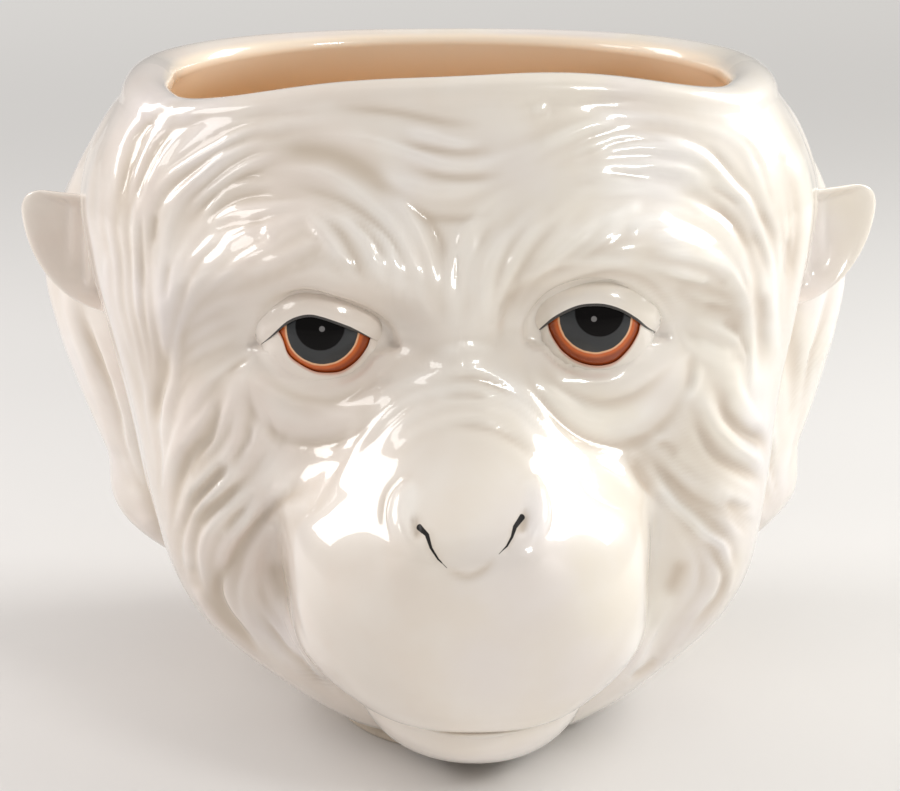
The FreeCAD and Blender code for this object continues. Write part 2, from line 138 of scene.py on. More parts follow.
# height, half width and length out from the root, as shares of the muzzle's own
MUZZLE_SECTIONS = (
    (0.019, 0.42, 0.21),
    (0.090, 0.46, 0.37),
    (0.122, 0.53, 0.56),
    (0.152, 0.66, 0.86),
    (0.180, 0.79, 0.935),
    (0.225, 0.94, 0.975),
    (0.290, 1.03, 1.00),
    (0.360, 1.03, 1.00),
    (0.430, 0.93, 0.96),
    (0.490, 0.72, 0.86),
    (0.545, 0.58, 0.74),
    (0.600, 0.44, 0.62),
    (0.660, 0.33, 0.51),
    (0.730, 0.26, 0.38),
    (0.800, 0.22, 0.24),
    (0.870, 0.20, 0.08),
)
# height up the hair behind the ears, and how far it stands out there
RUFF_SECTIONS = (
    (0.00, 0.0),
    (0.05, 0.62),
    (0.20, 0.76),
    (0.38, 1.00),
    (0.48, 1.00),
    (0.60, 0.60),
    (0.72, 0.18),
    (0.82, 0.0),
)


def along(rows, place):
    """The columns of a table at any places between its rows, on a smooth curve through them."""
    table = np.array(rows)
    stops, values = table[:, 0], table[:, 1:]
    place = np.clip(place, stops[0], stops[-1])
    step = np.clip(np.searchsorted(stops, place, side="right") - 1, 0, len(stops) - 2)
    run = (stops[step + 1] - stops[step])[..., None]
    way = (place - stops[step])[..., None] / run
    slope = np.gradient(values, stops, axis=0)
    start, end, leave, arrive = values[step], values[step + 1], slope[step] * run, slope[step + 1] * run
    bent = (2 * way**3 - 3 * way**2 + 1) * start + (way**3 - 2 * way**2 + way) * leave
    bent = bent + (3 * way**2 - 2 * way**3) * end + (way**3 - way**2) * arrive
    return [bent[..., column] for column in range(values.shape[1])]


def ramp(value):
    """0 below 0, 1 above 1, and smooth between."""
    way = np.clip(value, 0.0, 1.0)
    return way * way * (3 - 2 * way)


def bump(across, up=0.0):
    """1 in its middle and fading out, with both distances in spreads."""
    return np.exp(-(across**2) - up**2)


def plain_radius(angle, height):
    """The plain mass's reach from the head's axis, at an angle from the front and a height."""
    share = height / HEAD_HEIGHT
    half, front, back = along(HEAD_SECTIONS, share)
    reach = np.where(np.cos(angle) > 0, FACE_REACH * front, BACK_REACH * back)
    sides = (np.abs(np.sin(angle)) / (HALF_WIDTH * half)) ** SQUARENESS
    head = (sides + (np.abs(np.cos(angle)) / reach) ** SQUARENESS) ** (-1 / SQUARENESS)
    half, length = along(MUZZLE_SECTIONS, share)
    half, length = MUZZLE_HALF_WIDTH * half, MUZZLE_LENGTH * length
    inside, outside = np.zeros_like(head), np.full_like(head, 2 * (MUZZLE_ROOT + MUZZLE_LENGTH))
    for halving in range(30):
        middle = (inside + outside) / 2
        sides = (middle * np.abs(np.sin(angle)) / half) ** SQUARENESS
        ahead = (np.maximum(middle * np.cos(angle) - MUZZLE_ROOT, 0.0) / length) ** SQUARENESS
        fits = sides + ahead < 1
        inside, outside = np.where(fits, middle, inside), np.where(fits, outside, middle)
    muzzle = np.where(np.cos(angle) > 0, inside, 0.0)
    blend = WALL * (1 + 3 * ramp((share - 0.33) / 0.2))
    overlap = np.maximum(blend - np.abs(head - muzzle), 0.0) / blend
    return np.maximum(head, muzzle) + overlap**2 * blend / 4


RUFF_RELIEF, RUFF_BOTTOM = 40 * MM, 41 * MM
RIM_RISE, RIM_THICKNESS, RIM_SIDE_THICKNESS = 12 * MM, 13 * MM, 21 * MM


def ruff_radius(angle, height):
    """What the hair behind the ears adds."""
    turn = np.degrees(np.abs(angle))
    (share,) = along(RUFF_SECTIONS, (height - RUFF_BOTTOM) / HEAD_HEIGHT)
    return RUFF_RELIEF * share * ramp((turn - 94) / 17) * (1 - 0.9 * ramp((turn - 112) / 62))


def rim_thickness(angle):
    return RIM_THICKNESS + (RIM_SIDE_THICKNESS - RIM_THICKNESS) * np.sin(angle) ** 2


def roll_height(angle):
    """Where the rim's roll starts. The cut crown rises over the forehead, and less at the back."""
    front, back = ramp(1.7 * np.cos(angle) - 0.7), ramp(-1.2 * np.cos(angle) - 0.2)
    turn = 0.3 * np.sin(angle) * np.maximum(np.cos(angle), 0.0)
    sides = 0.8 * np.sin(angle) ** 4
    top = HEAD_HEIGHT - 0.6 * RIM_RISE + RIM_RISE * (1.45 * front + 0.7 * back + turn + sides)
    return top - rim_thickness(angle) / 2


def lean(height):
    """The lower face leans to one side."""
    return FACE_LEAN * np.maximum(EYE_HEIGHT - height, 0.0)


def eye_height(side):
    return EYE_HEIGHT + side * EYE_SPACING / 2 * FACE_LEAN


nose_reach = float(plain_radius(np.zeros(1), np.array([0.1]))[0])
print("plain head at the nose:", round(nose_reach * 1000), "mm from the axis")

# %% [markdown]
# ## Forms of the face
# Next come the forms that are bigger than a lock of hair: the brow that overhangs the eyes, the sockets,
# the bags under them, the nose and its wings, and the hollow behind each corner of the mouth. Each is a
# soft bump or dent with a place and a spread, pushed along the reach from the axis.

# %% Forms of the face
BALL = 24 * MM
NOSE_HALF, NOSE_HEIGHT = 28 * MM, 119 * MM
CHEEK_ACROSS, CHEEK_HEIGHT = 1.3 * MUZZLE_HALF_WIDTH, 0.34 * HEAD_HEIGHT
CORNER_ACROSS, CORNER_HEIGHT = 1.02 * MUZZLE_HALF_WIDTH, 0.31 * HEAD_HEIGHT
BROW_RELIEF, SOCKET_RELIEF, BAG_RELIEF = 17 * MM, 6 * MM, 8 * MM
NOSE_RELIEF, WING_RELIEF, CHEEK_RELIEF, CORNER_RELIEF = 8 * MM, 5.6 * MM, 7 * MM, 12 * MM


def face_forms(across, height):
    """How far the big forms of the face stand out, seen from the front."""
    side = np.where(across < 0, -1, 1)
    from_eye = (np.abs(across) - EYE_SPACING / 2) / BALL
    above_eye = (height - eye_height(side)) / BALL
    arch = above_eye - 1.22 + 0.16 * from_eye**2
    relief = BROW_RELIEF * bump(from_eye / 2.0, arch / 0.7)
    relief = relief - SOCKET_RELIEF * bump((from_eye + 1.35) / 0.5, above_eye / 0.7)
    relief = relief - SOCKET_RELIEF * bump((from_eye - 1.6) / 0.6, (above_eye + 0.1) / 0.7)
    sag = above_eye + 1.05 - 0.2 * from_eye**2
    relief = relief + BAG_RELIEF * bump(from_eye / 1.2, sag / 0.42)
    x, up = np.abs(across), (height - NOSE_HEIGHT) / NOSE_HALF
    relief = relief + NOSE_RELIEF * bump(x / (0.75 * NOSE_HALF), (up + 0.1) / 0.75)
    relief = relief + WING_RELIEF * bump((x - 0.8 * NOSE_HALF) / (0.4 * NOSE_HALF), up / 0.5)
    wide, tall = 0.26 * MUZZLE_HALF_WIDTH, 0.2 * HEAD_HEIGHT
    cheek = bump((x - CHEEK_ACROSS) / wide, (height - CHEEK_HEIGHT) / tall)
    wide, tall = 0.13 * MUZZLE_HALF_WIDTH, 0.12 * HEAD_HEIGHT
    corner = bump((x - CORNER_ACROSS) / wide, (height - CORNER_HEIGHT) / tall)
    return relief + CHEEK_RELIEF * cheek - CORNER_RELIEF * corner


EYE_SINK, EYE_SPLAY = 15 * MM, math.radians(7)
MOUND, MOUND_BLEND = 26 * MM, 4 * MM


def eye_centre(side):
    half, front, back = along(HEAD_SECTIONS, np.array([eye_height(side) / HEAD_HEIGHT]))
    way = EYE_SPACING / 2 / (HALF_WIDTH * half[0])
    depth = FACE_REACH * front[0] * (1 - way**SQUARENESS) ** (1 / SQUARENESS)
    return np.array((side * EYE_SPACING / 2, EYE_SINK - depth, eye_height(side)))


def eye_mounds(radius, angle, height):
    """The skin stretched over each eye, wherever a ball a little bigger than the eye stands out."""
    for side in (-1, 1):
        centre = eye_centre(side)
        x, y = centre[0] - lean(height), centre[1]
        forward = x * np.sin(angle) - y * np.cos(angle)
        over = np.maximum(height - centre[2], 0.0)
        ball = MOUND + 1.2 * MM * ramp(over / (8 * MM))
        room = forward**2 - x**2 - y**2 - (height - centre[2]) ** 2 + ball**2
        reach = np.where(room > 0, forward + np.sqrt(np.maximum(room, 0.0)), 0.0)
        reach = np.where(np.cos(angle) > 0, reach, 0.0)
        overlap = np.maximum(MOUND_BLEND - np.abs(radius - reach), 0.0) / MOUND_BLEND
        radius = np.maximum(radius, reach) + overlap**2 * MOUND_BLEND / 4
    return radius


def outer_radius(angle, height):
    radius = plain_radius(angle, height)
    face = ramp(3 * np.cos(angle)) * face_forms(radius * np.sin(angle), height)
    return eye_mounds(radius + ruff_radius(angle, height) + face, angle, height)


# extra clay inside, behind the eyes and the mouth corners
BACKING = 12 * MM


def inner_radius(angle, height):
    """The inside follows the outside, a wall's thickness in."""
    radius = plain_radius(angle, height)
    across = np.abs(radius * np.sin(angle))
    eye = bump((across - EYE_SPACING / 2) / (1.4 * BALL), (height - EYE_HEIGHT) / (1.4 * BALL))
    wide, tall = 0.3 * MUZZLE_HALF_WIDTH, 0.2 * HEAD_HEIGHT
    corner = bump((across - CORNER_ACROSS) / wide, (height - CORNER_HEIGHT) / tall)
    lip = (rim_thickness(angle) - WALL) * ramp((height - HEAD_HEIGHT) / (3 * RIM_THICKNESS) + 1)
    backing = BACKING * (eye + corner) * ramp(3 * np.cos(angle))
    return radius + ruff_radius(angle, height) / 2 - WALL - lip - backing


# %% [markdown]
# ## One skin for the whole pot
# The head's skin is one sheet that starts under the pot, climbs the outside, rolls over the rim and goes
# down inside to the middle of the floor. It is made from a flat grid, the way a potter wraps a slab round a
# form: the grid's columns go round the head and its rows follow the profile. The columns stand closer
# together over the face, where the locks and wrinkles need them.

# %% Rows and columns of the skin
COLUMNS = 480
FOOT, FLOOR = 5 * MM, 15 * MM
UNDER_ROWS, OUTSIDE_ROWS, RIM_ROWS, INSIDE_ROWS, FLOOR_ROWS = 3, 172, 9, 13, 3
# how far apart columns stand over the face and behind, as a ratio, and where the one gives way to the other
FACE_SPACING, BACK_SPACING, SPACING_BLEND = 1.0, 2.8, 60 * MM
ROW_CROWDING = 0.85


def spread_columns(height_at, radius_at):
    """Angles of one row's columns, so that they lie evenly along it, and closer over the face."""
    dense = np.linspace(-math.pi, math.pi, 1441)
    reach = radius_at(dense, height_at(dense))
    x, y = reach * np.sin(dense), -reach * np.cos(dense)
    step = np.hypot(np.diff(x), np.diff(y))
    behind = ramp((y[:-1] + y[1:]) / 2 / SPACING_BLEND)
    counted = step / (FACE_SPACING + (BACK_SPACING - FACE_SPACING) * behind)
    way = np.concatenate(([0.0], np.cumsum(counted)))
    middle = len(dense) // 2
    left = np.interp(np.linspace(0, way[middle], COLUMNS // 2 + 1), way, dense)
    right = np.interp(np.linspace(way[middle], way[-1], COLUMNS // 2 + 1), way, dense)
    return np.concatenate((left[:-1], right))


def skin_rows():
    """Every row of the skin as points, from the middle of the underside to the middle of the floor."""
    rows = []

    def add(angles, reach, height):
        x, y = reach * np.sin(angles) + lean(height), -reach * np.cos(angles)
        rows.append(np.stack((x, y, height + 0 * angles), axis=-1))

    edge = WALL / 2
    low = spread_columns(lambda a: 0 * a + FOOT + edge, outer_radius)
    base = outer_radius(low, 0 * low + FOOT) - edge
    for step in range(UNDER_ROWS):
        add(low, base * (step + 0.02) / UNDER_ROWS, 0 * low + FOOT)
    for turn in (0, 30, 60):
        rise = edge * (1 - math.cos(math.radians(turn)))
        add(low, base + edge * math.sin(math.radians(turn)) * 0.9, 0 * low + FOOT + rise)
    for step in range(OUTSIDE_ROWS + 1):
        share = (step / OUTSIDE_ROWS) ** ROW_CROWDING
        height_at = lambda a: (FOOT + edge) * (1 - share) + roll_height(a) * share
        angles = spread_columns(height_at, outer_radius)
        add(angles, outer_radius(angles, height_at(angles)), height_at(angles))
    top = angles
    half = rim_thickness(top) / 2
    for step in range(1, RIM_ROWS + 1):
        turn = math.pi * step / (RIM_ROWS + 1)
        middle = outer_radius(top, roll_height(top)) - half
        add(top, middle + half * math.cos(turn), roll_height(top) + half * math.sin(turn))
    fillet = 2 * WALL
    for step in range(INSIDE_ROWS + 1):
        share = step / INSIDE_ROWS
        height = roll_height(top) * (1 - share) + (FLOOR + fillet) * share
        add(top, inner_radius(top, height), height)
    for turn in (30, 60, 90):
        drop, draw = math.sin(math.radians(turn)) * fillet, (1 - math.cos(math.radians(turn))) * fillet
        height = 0 * top + FLOOR + fillet - drop
        add(top, inner_radius(top, height) - draw, height)
    last = inner_radius(top, 0 * top + FLOOR) - fillet
    for step in range(1, FLOOR_ROWS + 1):
        add(top, last * (1 - step / (FLOOR_ROWS + 0.02)), 0 * top + FLOOR)
    return np.array(rows)


skin = skin_rows()
FIRST_OUTSIDE = UNDER_ROWS + 3
LAST_OUTSIDE = FIRST_OUTSIDE + OUTSIDE_ROWS
RIM_END = LAST_OUTSIDE + RIM_ROWS
print("skin grid", skin.shape, "->", 2 * (skin.shape[0] - 1) * COLUMNS, "triangles")

# %% [markdown]
# ## Carving
# The sculptor of the real head cut the hair and wrinkles with a wire loop: soft ridges and soft grooves,
# one stroke at a time, which the glaze then rounded. The same is done here. Each stroke is a short row of
# points in the picture, read off the photograph, with a smooth curve through them. A stroke lifts or sinks
# the clay under it along a rounded profile and fades out at both its ends. `comb` fills the field between
# two strokes with evenly spaced ones, for combed hair.

# %% Strokes
STROKE_STEP = 1.5
TAPER = 0.34


def curve_through(points):
    """Dense points along a smooth curve through a few, and how far along it each lies."""
    points = np.array(points, dtype=float)
    ends = np.vstack((2 * points[0] - points[1], points, 2 * points[-1] - points[-2]))
    dense = []
    for before, start, end, after in zip(ends[:-3], ends[1:-2], ends[2:-1], ends[3:]):
        count = max(int(np.hypot(*(end - start)) / STROKE_STEP), 2)
        way = np.linspace(0, 1, count, endpoint=False)[:, None]
        bend = (end - before) * way + (2 * before - 5 * start + 4 * end - after) * way**2
        dense.append(start + 0.5 * (bend + (3 * start - before - 3 * end + after) * way**3))
    dense.append(points[-1:])
    dense = np.vstack(dense)
    return dense, np.linspace(0, 1, len(dense))


def spaced(points, count):
    """Evenly spaced points along the smooth curve through a few."""
    dense = curve_through(points)[0]
    steps = np.concatenate(([0.0], np.cumsum(np.hypot(*np.diff(dense, axis=0).T))))
    stops = np.linspace(0, steps[-1], count)
    return np.stack([np.interp(stops, steps, dense[:, axis]) for axis in (0, 1)], -1)


def comb(first, last, count):
    """Strokes spread evenly from the first to the last, both of them left out."""
    shares = np.linspace(0, 1, 9)
    edges = []
    for edge in (first, last):
        dense, way = curve_through(edge)
        edges.append(np.stack([np.interp(shares, way, dense[:, axis]) for axis in (0, 1)], axis=-1))
    return [edges[0] + (edges[1] - edges[0]) * (number + 1) / (count + 1) for number in range(count)]


def between(strokes):
    """The strokes that run midway between neighbours."""
    return [comb(first, last, 1)[0] for first, last in zip(strokes[:-1], strokes[1:])]


class Carving:
    """Relief over a set of clay points, given where they fall in the picture."""

    def __init__(self, places):
        self.places = places
        self.relief = np.zeros(len(places))

    def cut(self, strokes, width, height):
        """Strokes of that width in pixels and height in metres. A height under 0 is a groove."""
        for stroke in strokes:
            dense, way = curve_through(stroke)
            reach = 3 * width
            near = np.all((self.places > dense.min(0) - reach) & (self.places < dense.max(0) + reach), axis=1)
            index = np.nonzero(near)[0]
            if not len(index):
                continue
            gaps = np.hypot(*(self.places[index, None, :] - dense[None]).transpose(2, 0, 1))
            closest = gaps.argmin(axis=1)
            fade = ramp(way[closest] / TAPER) * ramp((1 - way[closest]) / TAPER)
            profile = np.exp(-((gaps[np.arange(len(index)), closest] / width) ** 2)) * fade
            self.relief[index] += height * profile


print("a comb of three between two strokes:", len(comb(((0, 0), (0, 9)), ((9, 0), (9, 9)), 3)))

# %% [markdown]
# Between the strokes a sculptor drags a fine comb, so that the hair runs on from stroke to stroke. To do
# the same, every point of the picture gets the lie of the strokes near it. Grains scattered over the
# picture are then smeared along that lie, which draws them out into soft, even strands.

# %% Combing
CELL = 2.0
HAIR_REACH = 17.0
# the lie of the hair is worked out once in so many cells, and blends strokes within so many square pixels
LIE_STEP, LIE_BLEND = 5, 40


def between_cells(grid, row, column):
    """A grid read between its cells, blended from the four round each place."""
    top, left = row.astype(int), column.astype(int)
    down, across = row - top, column - left
    upper = grid[top, left] * (1 - across) + grid[top, left + 1] * across
    lower = grid[top + 1, left] * (1 - across) + grid[top + 1, left + 1] * across
    return upper * (1 - down) + lower * down


def enlarge(coarse, step, shape):
    """A coarse grid drawn out smoothly to a fine one."""
    row, column = np.arange(shape[0]) / step, np.arange(shape[1]) / step
    coarse = np.pad(coarse, ((0, 1), (0, 1)), mode="edge")
    return between_cells(coarse, row[:, None], column[None])


def soften(grid, spread):
    """A grid blurred over a spread of cells, both ways."""
    offsets = np.arange(-int(3 * spread) - 1, int(3 * spread) + 2)
    weights = np.exp(-((offsets / spread) ** 2) / 2)
    weights /= weights.sum()
    for axis in (0, 1):
        grid = sum(np.roll(grid, offset, axis=axis) * weight for offset, weight in zip(offsets, weights))
    return grid


class Combing:
    """Fine strands over the picture that run along the strokes laid into it."""

    def __init__(self, seed):
        self.tall, self.wide = int(PICTURE_HEIGHT / CELL) + 1, int(PICTURE_WIDTH / CELL) + 1
        self.grains = np.random.default_rng(seed).normal(size=(self.tall, self.wide))
        self.middles, self.runs, self.depths = [], [], []

    def lay(self, strokes, depth):
        for stroke in strokes:
            dense = curve_through(stroke)[0][::4]
            self.middles.append((dense[1:] + dense[:-1]) / 2)
            self.runs.append(dense[1:] - dense[:-1])
            self.depths.append(np.full(len(dense) - 1, depth))

    def field(self):
        """The lie of the hair and its depth on a coarse grid, then on every cell."""
        middles, runs, depths = (np.concatenate(part) for part in (self.middles, self.runs, self.depths))
        turns = 2 * np.arctan2(runs[:, 1], runs[:, 0])
        down, across = np.mgrid[0 : self.tall : LIE_STEP, 0 : self.wide : LIE_STEP] * CELL
        gaps = (across[..., None] - middles[:, 0]) ** 2 + (down[..., None] - middles[:, 1]) ** 2
        weights = 1 / (gaps + LIE_BLEND) ** 2
        total = weights.sum(-1)
        lie = np.arctan2((weights * np.sin(turns)).sum(-1), (weights * np.cos(turns)).sum(-1)) / 2
        near = np.exp(-gaps.min(-1) / HAIR_REACH**2)
        deep = (weights * depths).sum(-1) / total * near
        parts = (np.cos(2 * lie), np.sin(2 * lie), deep)
        return [enlarge(part, LIE_STEP, (self.tall, self.wide)) for part in parts]

    def strands(self, length, width):
        """The grains smeared along the hair, with a spread of about one, times the depth."""
        twice_cos, twice_sin, deep = self.field()
        lie = np.arctan2(twice_sin, twice_cos) / 2
        grains = soften(self.grains, width / CELL)
        rows, columns = np.mgrid[0 : self.tall, 0 : self.wide].astype(float)
        smeared = grains.copy()
        for way in (-1, 1):
            row, column = rows.copy(), columns.copy()
            ahead_x, ahead_y = way * np.cos(lie), way * np.sin(lie)
            for step in range(int(length / CELL)):
                row = np.clip(row + ahead_y, 0, self.tall - 1)
                column = np.clip(column + ahead_x, 0, self.wide - 1)
                here = (row.round().astype(int), column.round().astype(int))
                turn_x, turn_y = np.cos(lie)[here], np.sin(lie)[here]
                same = np.sign(turn_x * ahead_x + turn_y * ahead_y)
                ahead_x, ahead_y = turn_x * same, turn_y * same
                smeared += grains[here] * math.cos(math.pi / 2 * step * CELL / length)
        return smeared / smeared.std() * deep


print("cells of the combing:", Combing(1).grains.shape)

# %% [markdown]
# ## The strokes of this head
# They are grouped the way they were cut: the forehead, the brows, the temples, the cheeks, the skin round
# the eyes, the bridge of the nose. Ridges and grooves come apart, because the glaze pools in grooves and
# thins over ridges, and the grooves are also darkened with painted shade.

# %% The strokes
FOREHEAD_RIDGES = (
    ((400, 129), (430, 137), (460, 145), (485, 146)),
    ((300, 131), (340, 134), (380, 143), (420, 157), (445, 166), (475, 167), (500, 160), (520, 154)),
    ((370, 170), (400, 181), (430, 191), (460, 192), (480, 188), (500, 182)),
    ((262, 172), (290, 169), (320, 173), (345, 186), (370, 205), (390, 225), (405, 250), (415, 275)),
    ((375, 190), (400, 205), (415, 225), (425, 245), (432, 265), (438, 290), (442, 310)),
)
FOREHEAD_GROOVES = (
    ((320, 107), (360, 109), (400, 113), (440, 121), (470, 124), (490, 122)),
    ((390, 138), (420, 147), (450, 151), (480, 151), (500, 149)),
    ((400, 165), (430, 174), (460, 178), (490, 176), (510, 170)),
    ((410, 212), (430, 217), (450, 219), (470, 218), (500, 210)),
    ((270, 190), (300, 188), (330, 196), (355, 208), (375, 222), (395, 245), (402, 270), (405, 300)),
    ((400, 200), (425, 215), (440, 240), (448, 270)),
)
FOREHEAD_HOLLOW = (((255, 153), (290, 150), (330, 154), (365, 170), (390, 190), (405, 205)),)
LEFT_BROW_RIDGES = (
    ((305, 215), (320, 232), (332, 250), (340, 268)),
    ((330, 211), (350, 223), (365, 240), (375, 262), (388, 285)),
    ((360, 222), (380, 235), (392, 252), (400, 275), (403, 300)),
    ((262, 228), (270, 234), (275, 240)),
)
LEFT_BROW_GROOVES = (
    ((320, 215), (340, 232), (352, 252), (362, 275), (372, 290)),
    ((345, 215), (368, 232), (380, 248), (388, 265)),
)
LEFT_CROWN_RIDGES = (
    ((150, 205), (165, 182), (190, 163), (215, 148), (245, 132), (275, 125)),
    ((165, 215), (180, 195), (200, 178), (220, 160), (250, 145), (290, 135)),
    ((185, 220), (200, 200), (225, 182), (250, 166), (280, 158)),
    ((200, 225), (222, 192), (245, 182), (268, 176)),
    ((205, 240), (214, 222), (240, 210), (268, 206), (300, 205)),
    ((215, 250), (235, 238), (262, 228)),
)
LEFT_TEMPLE = (
    (
        (101, 130), (90, 181), (91, 226), (101, 248), (98, 273), (104, 309), (118, 350), (132, 390),
        (140, 430), (152, 476),
    ),
    (
        (215, 165), (190, 190), (170, 215), (162, 250), (160, 290), (163, 330), (165, 370), (160, 410),
        (163, 440), (170, 480),
    ),
)
LEFT_TEMPLE_RIDGES = (((143, 190), (138, 215), (137, 260), (137, 300), (137, 330)),)
LEFT_TEMPLE_GROOVES = (
    ((155, 210), (154, 225), (153, 248)),
    ((145, 205), (140, 215), (140, 255), (142, 300)),
    ((170, 255), (166, 280), (163, 305)),
)
LEFT_EYE_COMB = (
    ((250, 290), (215, 300), (185, 320), (172, 345)),
    ((250, 350), (225, 365), (195, 380), (175, 400)),
)
LEFT_CHEEK_GROOVES = (
    ((222, 395), (217, 415), (208, 437), (195, 448), (185, 460), (176, 490)),
    ((234, 400), (228, 430), (215, 450), (203, 462), (186, 485)),
    ((250, 420), (250, 440), (238, 455), (228, 470)),
    ((240, 482), (228, 500), (215, 510), (203, 518), (190, 530)),
    ((250, 505), (235, 520), (223, 535)),
    ((260, 560), (257, 580), (262, 600), (270, 620), (282, 640), (295, 660)),
    ((190, 560), (192, 580), (200, 597)),
    ((280, 640), (300, 660), (320, 680), (335, 692)),
)
LEFT_CHEEK_FURROWS = (
    ((163, 340), (165, 375), (157, 405), (160, 430)),
    ((222, 452), (218, 470), (205, 487), (192, 500), (184, 515)),
    ((245, 530), (235, 555), (223, 575), (217, 592), (222, 610), (235, 625), (250, 640), (262, 653)),
)
LEFT_CHEEK_RIDGES = (
    ((218, 385), (206, 412), (198, 427), (188, 440), (178, 455), (172, 480)),
    ((238, 376), (230, 402), (222, 425), (212, 445), (200, 460), (190, 470)),
    ((243, 410), (240, 435), (232, 455), (226, 480), (213, 495), (200, 505), (190, 520)),
    ((262, 420), (257, 435), (248, 450), (240, 455)),
    ((270, 425), (268, 445), (258, 455), (250, 465)),
    (
        (285, 440), (280, 455), (272, 475), (261, 492), (250, 515), (235, 535), (222, 552), (214, 572),
        (213, 590),
    ),
    (
        (297, 500), (280, 510), (265, 530), (252, 550), (247, 570), (242, 590), (245, 610), (254, 630),
        (266, 650), (280, 662),
    ),
    ((257, 590), (265, 612), (283, 636), (300, 660), (310, 672)),
    ((275, 600), (290, 620), (300, 640), (315, 665), (335, 690)),
    ((195, 560), (196, 580), (205, 605), (225, 628), (250, 645), (265, 658), (290, 672), (310, 688)),
)
# free edge and far edge of each lid, from the left to the right of the picture
UPPER_LIDS = {
    "left": (
        (
            (247, 352), (254, 349), (269, 339), (286, 325), (298, 319), (310, 317), (321, 319), (336, 324),
            (357, 332), (371, 338), (389, 346), (404, 350),
        ),
        (
            (247, 352), (246, 340), (255, 320), (270, 303), (292, 291), (313, 290), (336, 296), (357, 303),
            (379, 313), (395, 326), (404, 350),
        ),
    ),
    "right": (
        (
            (522, 344), (530, 338), (544, 327), (560, 316), (578, 308), (593, 306), (607, 307), (622, 312),
            (637, 321), (648, 329), (664, 336), (675, 340),
        ),
        (
            (522, 344), (521, 322), (533, 303), (549, 290), (572, 281), (593, 278), (619, 280), (642, 290),
            (659, 304), (670, 322), (675, 340),
        ),
    ),
}
LOWER_LIDS = {
    "left": (
        (
            (248, 350), (262, 338), (275, 330), (282, 338), (288, 354), (298, 363), (313, 371), (327, 373),
            (342, 371), (357, 361), (367, 348), (373, 336), (386, 342), (402, 350),
        ),
        (
            (248, 350), (262, 362), (275, 374), (290, 384), (310, 391), (330, 393), (350, 390), (368, 380),
            (383, 366), (395, 356), (402, 350),
        ),
    ),
    "right": (
        (
            (523, 344), (534, 334), (546, 322), (549, 330), (554, 340), (563, 352), (578, 362), (597, 366),
            (615, 362), (629, 349), (638, 334), (642, 323), (656, 330), (674, 340),
        ),
        (
            (523, 344), (531, 358), (543, 370), (558, 379), (576, 385), (597, 387), (617, 384), (636, 375),
            (653, 362), (666, 350), (674, 340),
        ),
    ),
}
LEFT_CHEEK_STRANDS = (
    ((217, 388), (205, 411), (181, 438), (168, 468), (162, 505)),
    ((255, 420), (236, 449), (206, 476), (187, 499), (176, 534), (180, 553)),
    ((271, 438), (251, 468), (217, 491), (195, 515), (184, 549), (190, 584), (201, 608)),
    ((278, 457), (259, 484), (228, 507), (206, 534), (201, 561), (206, 595), (218, 618)),
    ((290, 480), (270, 500), (246, 522), (230, 545), (224, 572), (228, 598), (240, 622), (262, 645)),
    ((263, 534), (256, 565), (258, 595), (276, 626), (305, 660)),
)
EYE_CREASES = (
    (
        (249, 339), (258, 320), (268, 305), (285, 297), (305, 293), (333, 301), (360, 308), (385, 320),
        (403, 340),
    ),
    (
        (523, 340), (535, 310), (550, 295), (580, 282), (610, 275), (640, 280), (660, 295), (672, 315),
        (679, 340),
    ),
)
POUCH_BULGES = (
    ((258, 385), (266, 402), (282, 417), (305, 424), (332, 421), (352, 411), (368, 395)),
    ((538, 372), (552, 390), (570, 406), (595, 418), (622, 419), (646, 409), (664, 392)),
)
POUCH_CREASES = (
    ((262, 364), (271, 380), (286, 392), (305, 399), (331, 401), (353, 394), (371, 381), (385, 363)),
    (
        (537, 350), (545, 368), (557, 383), (574, 395), (600, 405), (629, 400), (651, 386), (670, 367),
        (680, 350),
    ),
)
POUCH_EDGES = (
    (
        (240, 374), (245, 397), (257, 419), (276, 436), (300, 443), (330, 442), (353, 433), (371, 415),
        (387, 393), (397, 372),
    ),
    (
        (524, 352), (530, 376), (546, 404), (566, 426), (590, 440), (618, 445), (645, 438), (668, 420),
        (684, 394), (691, 368),
    ),
)
EYE_GROOVES = (
    ((225, 375), (240, 362), (250, 358)),
    ((692, 350), (690, 375), (688, 395)),
)
EYE_RIDGES = (
    ((528, 362), (537, 380), (551, 397), (570, 413), (590, 424), (615, 432)),
    ((700, 360), (695, 385), (682, 405)),
    ((505, 300), (520, 285), (545, 270), (580, 262), (620, 262), (650, 265)),
)
RIGHT_BROW_RIDGES = (
    ((490, 205), (470, 228), (456, 252), (448, 282), (448, 312)),
    ((515, 222), (497, 248), (488, 272), (485, 298), (490, 325)),
    ((552, 212), (530, 236), (517, 258), (508, 280), (502, 305)),
    ((580, 218), (558, 240), (538, 262), (520, 285), (508, 305)),
    ((608, 212), (585, 232), (560, 254), (535, 274)),
    ((628, 222), (602, 240), (578, 258), (555, 268)),
)
RIGHT_BROW_ROLL = (((478, 225), (470, 255), (465, 285), (466, 310)),)
RIGHT_BROW_TUFTS = (
    ((595, 226), (620, 214), (645, 200)),
    ((625, 234), (650, 222), (675, 222)),
)
RIGHT_TUFT_RIDGES = (
    ((650, 232), (690, 243), (720, 250)),
    ((650, 252), (690, 256), (730, 268)),
    ((660, 270), (700, 280), (740, 292)),
    ((680, 292), (715, 303), (745, 312)),
    ((690, 318), (720, 330), (745, 345)),
    ((690, 335), (715, 350), (740, 360)),
)
RIGHT_TUFT_GROOVES = (
    ((700, 282), (715, 284), (730, 286)),
    ((700, 305), (720, 308), (740, 312)),
    ((720, 320), (730, 327), (740, 335)),
)
